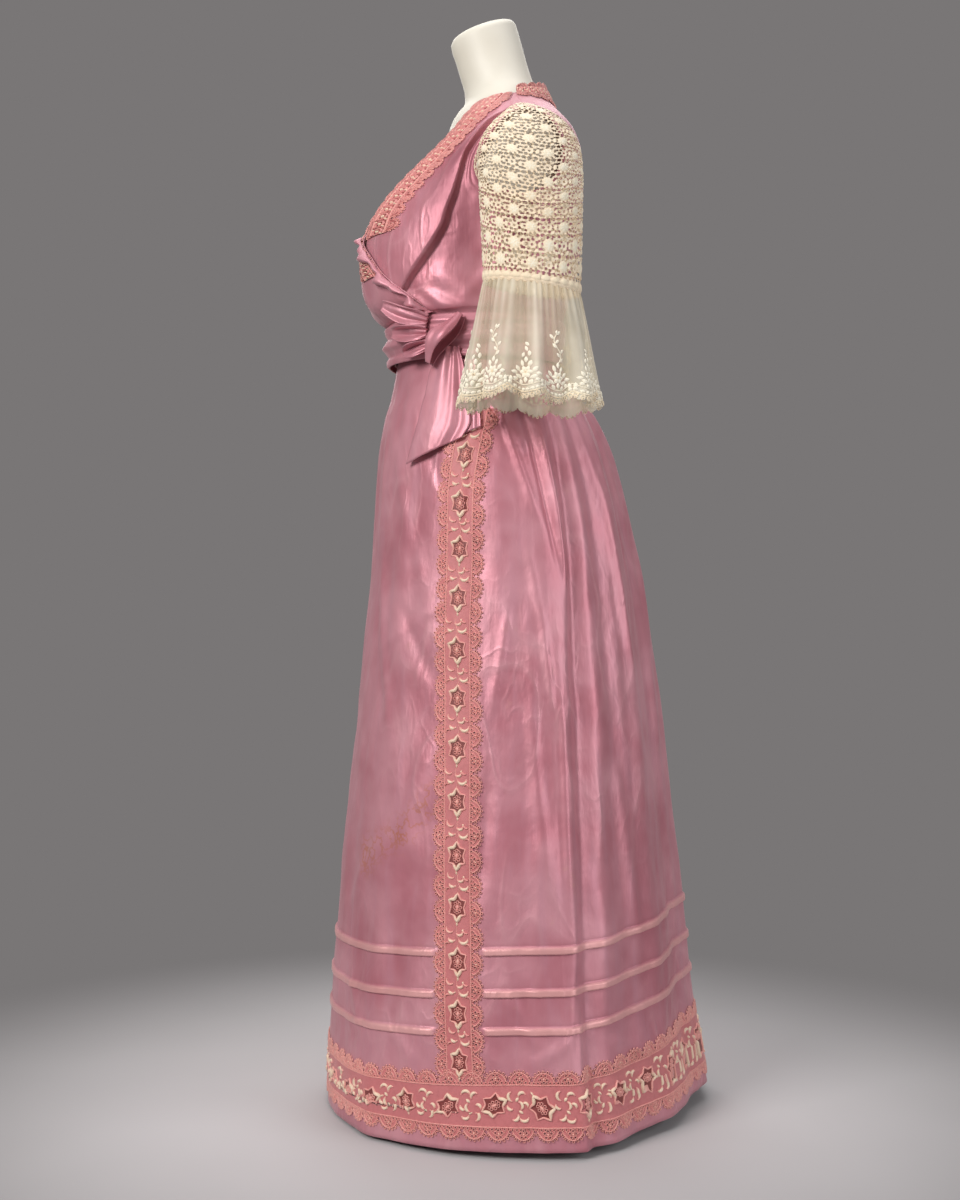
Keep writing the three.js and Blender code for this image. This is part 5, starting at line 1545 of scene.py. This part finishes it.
def frill_leaf(number, root, tip, half, cup):
    """One leaf of the frill beside the bow: a cupped tongue gathered at its root."""
    start, end, across, away = frame_between(root, tip, (root[0] + tip[0]) / 2, 1070)
    across = -across
    u, v = np.meshgrid(np.linspace(-1, 1, 30), np.linspace(0, 1, 34))
    wide = half * (0.3 + 0.7 * np.sin(np.pi * np.clip(0.1 + 0.82 * v, 0, 1)))
    lift = cup * (0.8 * np.sin(np.pi * v) + 1.3 * np.abs(u) ** 3 * np.sin(np.pi * v * 0.85))
    lift = lift + 1.3 * (1 - v) * np.sin(9 * u + number)
    lift = lift + 1.8 * np.sin(np.pi * v) * np.sin(3.4 * u + 2 * number)
    curl = ease(-u, 0.35, 1) * np.sin(np.pi * v.clip(0.05, 1))
    lift = lift + (4.5 + number) * curl
    points = mix(start, end, v[..., None]) + across * ((u + 0.35 * curl) * wide)[..., None]
    points = points + away * (lift + 1.4)[..., None]
    size = (2 * half * MM, float(np.linalg.norm(end - start)) * MM)
    area = size[0] * size[1] * 0.95
    sash_piece(f"satin_leaf_{number}", points, f"sash_frill_{number}")


for number, leaf in enumerate(LEAVES, 1):
    frill_leaf(number, *leaf)


# ------------------------------------------------------------------ dress form and stand
def closed_ends(made):
    """Fills a mesh's open rims."""
    work = bmesh.new()
    work.from_mesh(made.data)
    rims = [edge for edge in work.edges if edge.is_boundary]
    bmesh.ops.holes_fill(work, edges=rims)
    work.to_mesh(made.data)
    work.free()


def torso():
    """The form: ellipses from the flat foot to the cut top of the neck, with a rounded rim at each end."""
    heights = np.r_[905, 906.5, 910, np.arange(920, 1508, 9.0), 1508, 1511, 1513.5, 1515]
    inset = np.r_[3, 1, 0, np.zeros(len(heights) - 7), 0, 0.6, 1.6, 4]
    angle, height = np.meshgrid(np.linspace(0, 360, 97)[:-1], heights)
    at = {name: through(FORM["height"], values, height) for name, values in FORM.items()}
    s, c = np.sin(np.radians(angle)), np.cos(np.radians(angle))
    gap = inset[:, None]
    depth = np.where(c > 0, at["side"] - at["front"], at["back"] - at["side"]) - gap
    y = at["side"] - depth * c
    points = np.stack([(at["half"] - gap) * s, y, height + at["rise"] * (y - at["side"])], -1)
    made = cloth("form_body", points, SHELL_FINISH, ["form_torso"], closed=True)
    closed_ends(made)


def stand():
    """Round base with a turned collar and a pole, as one outline turned round the middle."""
    outline = np.array([
        [0.5, 0.2], [171, 0.2], [174, 1.5], [175, 4], [175, 9], [172.5, 12.5], [169, 14], [60, 15], [30, 16],
        [24, 19], [19, 24], [16, 32], [16, 200], [16, 500], [16, 904], [0.5, 904.5],
    ])
    angle = np.radians(np.linspace(0, 360, 65)[:-1])[None]
    points = np.stack([
        outline[:, :1] * np.sin(angle), -outline[:, :1] * np.cos(angle), outline[:, 1:] + 0 * angle,
    ], -1)
    made = cloth("stand_body", points, METAL_FINISH, ["form_stand"], closed=True)
    closed_ends(made)


torso()
stand()


# ------------------------------------------------------------------ stage
WALL = srgb(121, 118, 118)
FLOOR_REACH = 40  # m


def floor():
    """Pale floor round the stand that fades into the grey of the room."""
    f = Finish("floor", Roughness=0.8)
    gap = f.node("ShaderNodeVectorMath", {"operation": "LENGTH"}, f.place, output="Value")
    cloudy = f.noise(2.0, 2.0).ramped(0.3, 0.7)
    f.set(Base_Color=f.blend(srgb(183, 180, 181), srgb(188, 185, 186), cloudy))
    glow = f.node("ShaderNodeEmission", {}, (*WALL, 1))
    far = gap.ramped(0.3, 1.1)
    both = f.node("ShaderNodeMixShader", {}, far, Signal(f, f.shader.outputs[0]), glow)
    f.tree.links.new(both.socket, f.tree.nodes["Material Output"].inputs["Surface"])
    corners = [(x * FLOOR_REACH, y * FLOOR_REACH, 0) for x, y in ((-1, -1), (1, -1), (1, 1), (-1, 1))]
    mesh = bpy.data.meshes.new("floor")
    mesh.from_pydata(corners, [], [(0, 1, 2, 3)])
    mesh.materials.append(f.material)
    made = bpy.data.objects.new("floor", mesh)
    bpy.context.scene.collection.objects.link(made)


def aimed(made, direction):
    """Turns a light or a camera to look along a direction, with its top up."""
    made.rotation_euler = Vector([float(v) for v in direction]).to_track_quat("-Z", "Y").to_euler()


def softbox(name, place, aim, size, watts, tint=(1, 1, 1)):
    """A square soft light, aimed at a point."""
    light = bpy.data.lights.new(name, "AREA")
    light.shape, light.size, light.energy, light.color = "SQUARE", size, watts, tint
    made = bpy.data.objects.new(name, light)
    made.location = place
    aimed(made, np.array(aim) - np.array(place))
    bpy.context.scene.collection.objects.link(made)


VIEW_TURN = math.radians(12)  # how far the view is turned from straight at the wearer's left side
TO_VIEW = np.array([math.cos(VIEW_TURN), -math.sin(VIEW_TURN), 0])
VIEW_RIGHT = np.array([math.sin(VIEW_TURN), math.cos(VIEW_TURN), 0])
VIEW_DISTANCE, VIEW_HEIGHT, VIEW_SHIFT = 2.400, 0.7066, -0.0071
PIXELS_TALL, FOCAL_PIXELS, SENSOR = 1200, 1690, 36.0


def camera():
    """A level camera at about thigh height, with the frame's long side on the sensor's width."""
    lens = bpy.data.cameras.new("view")
    lens.lens, lens.sensor_width = FOCAL_PIXELS / PIXELS_TALL * SENSOR, SENSOR
    made = bpy.data.objects.new("view", lens)
    made.location = TO_VIEW * VIEW_DISTANCE + VIEW_RIGHT * VIEW_SHIFT + np.array([0, 0, VIEW_HEIGHT])
    aimed(made, -TO_VIEW)
    bpy.context.scene.collection.objects.link(made)
    bpy.context.scene.camera = made


def room():
    """Even light from the room's grey walls."""
    world = bpy.data.worlds.new("room")
    world.use_nodes = True
    background = world.node_tree.nodes["Background"]
    background.inputs["Color"].default_value = (*WALL, 1)
    background.inputs["Strength"].default_value = 1.0
    bpy.context.scene.world = world


floor()
MIDDLE = [0, 0, 0.8]
softbox("key", TO_VIEW * 2.3 - VIEW_RIGHT * 1.9 + [0, 0, 2.2], MIDDLE, 1.3, 86, (1, 0.985, 0.97))
softbox("fill", TO_VIEW * 2.0 + VIEW_RIGHT * 2.6 + [0, 0, 1.5], MIDDLE, 2.0, 46, (0.97, 0.98, 1))
softbox("top", [0, 0, 3.4], MIDDLE, 2.6, 40)
softbox("back", -TO_VIEW * 2.4 + [0, 0, 2.4], MIDDLE, 2.4, 40)
room()
bpy.context.scene.view_settings.view_transform = "Standard"
camera()
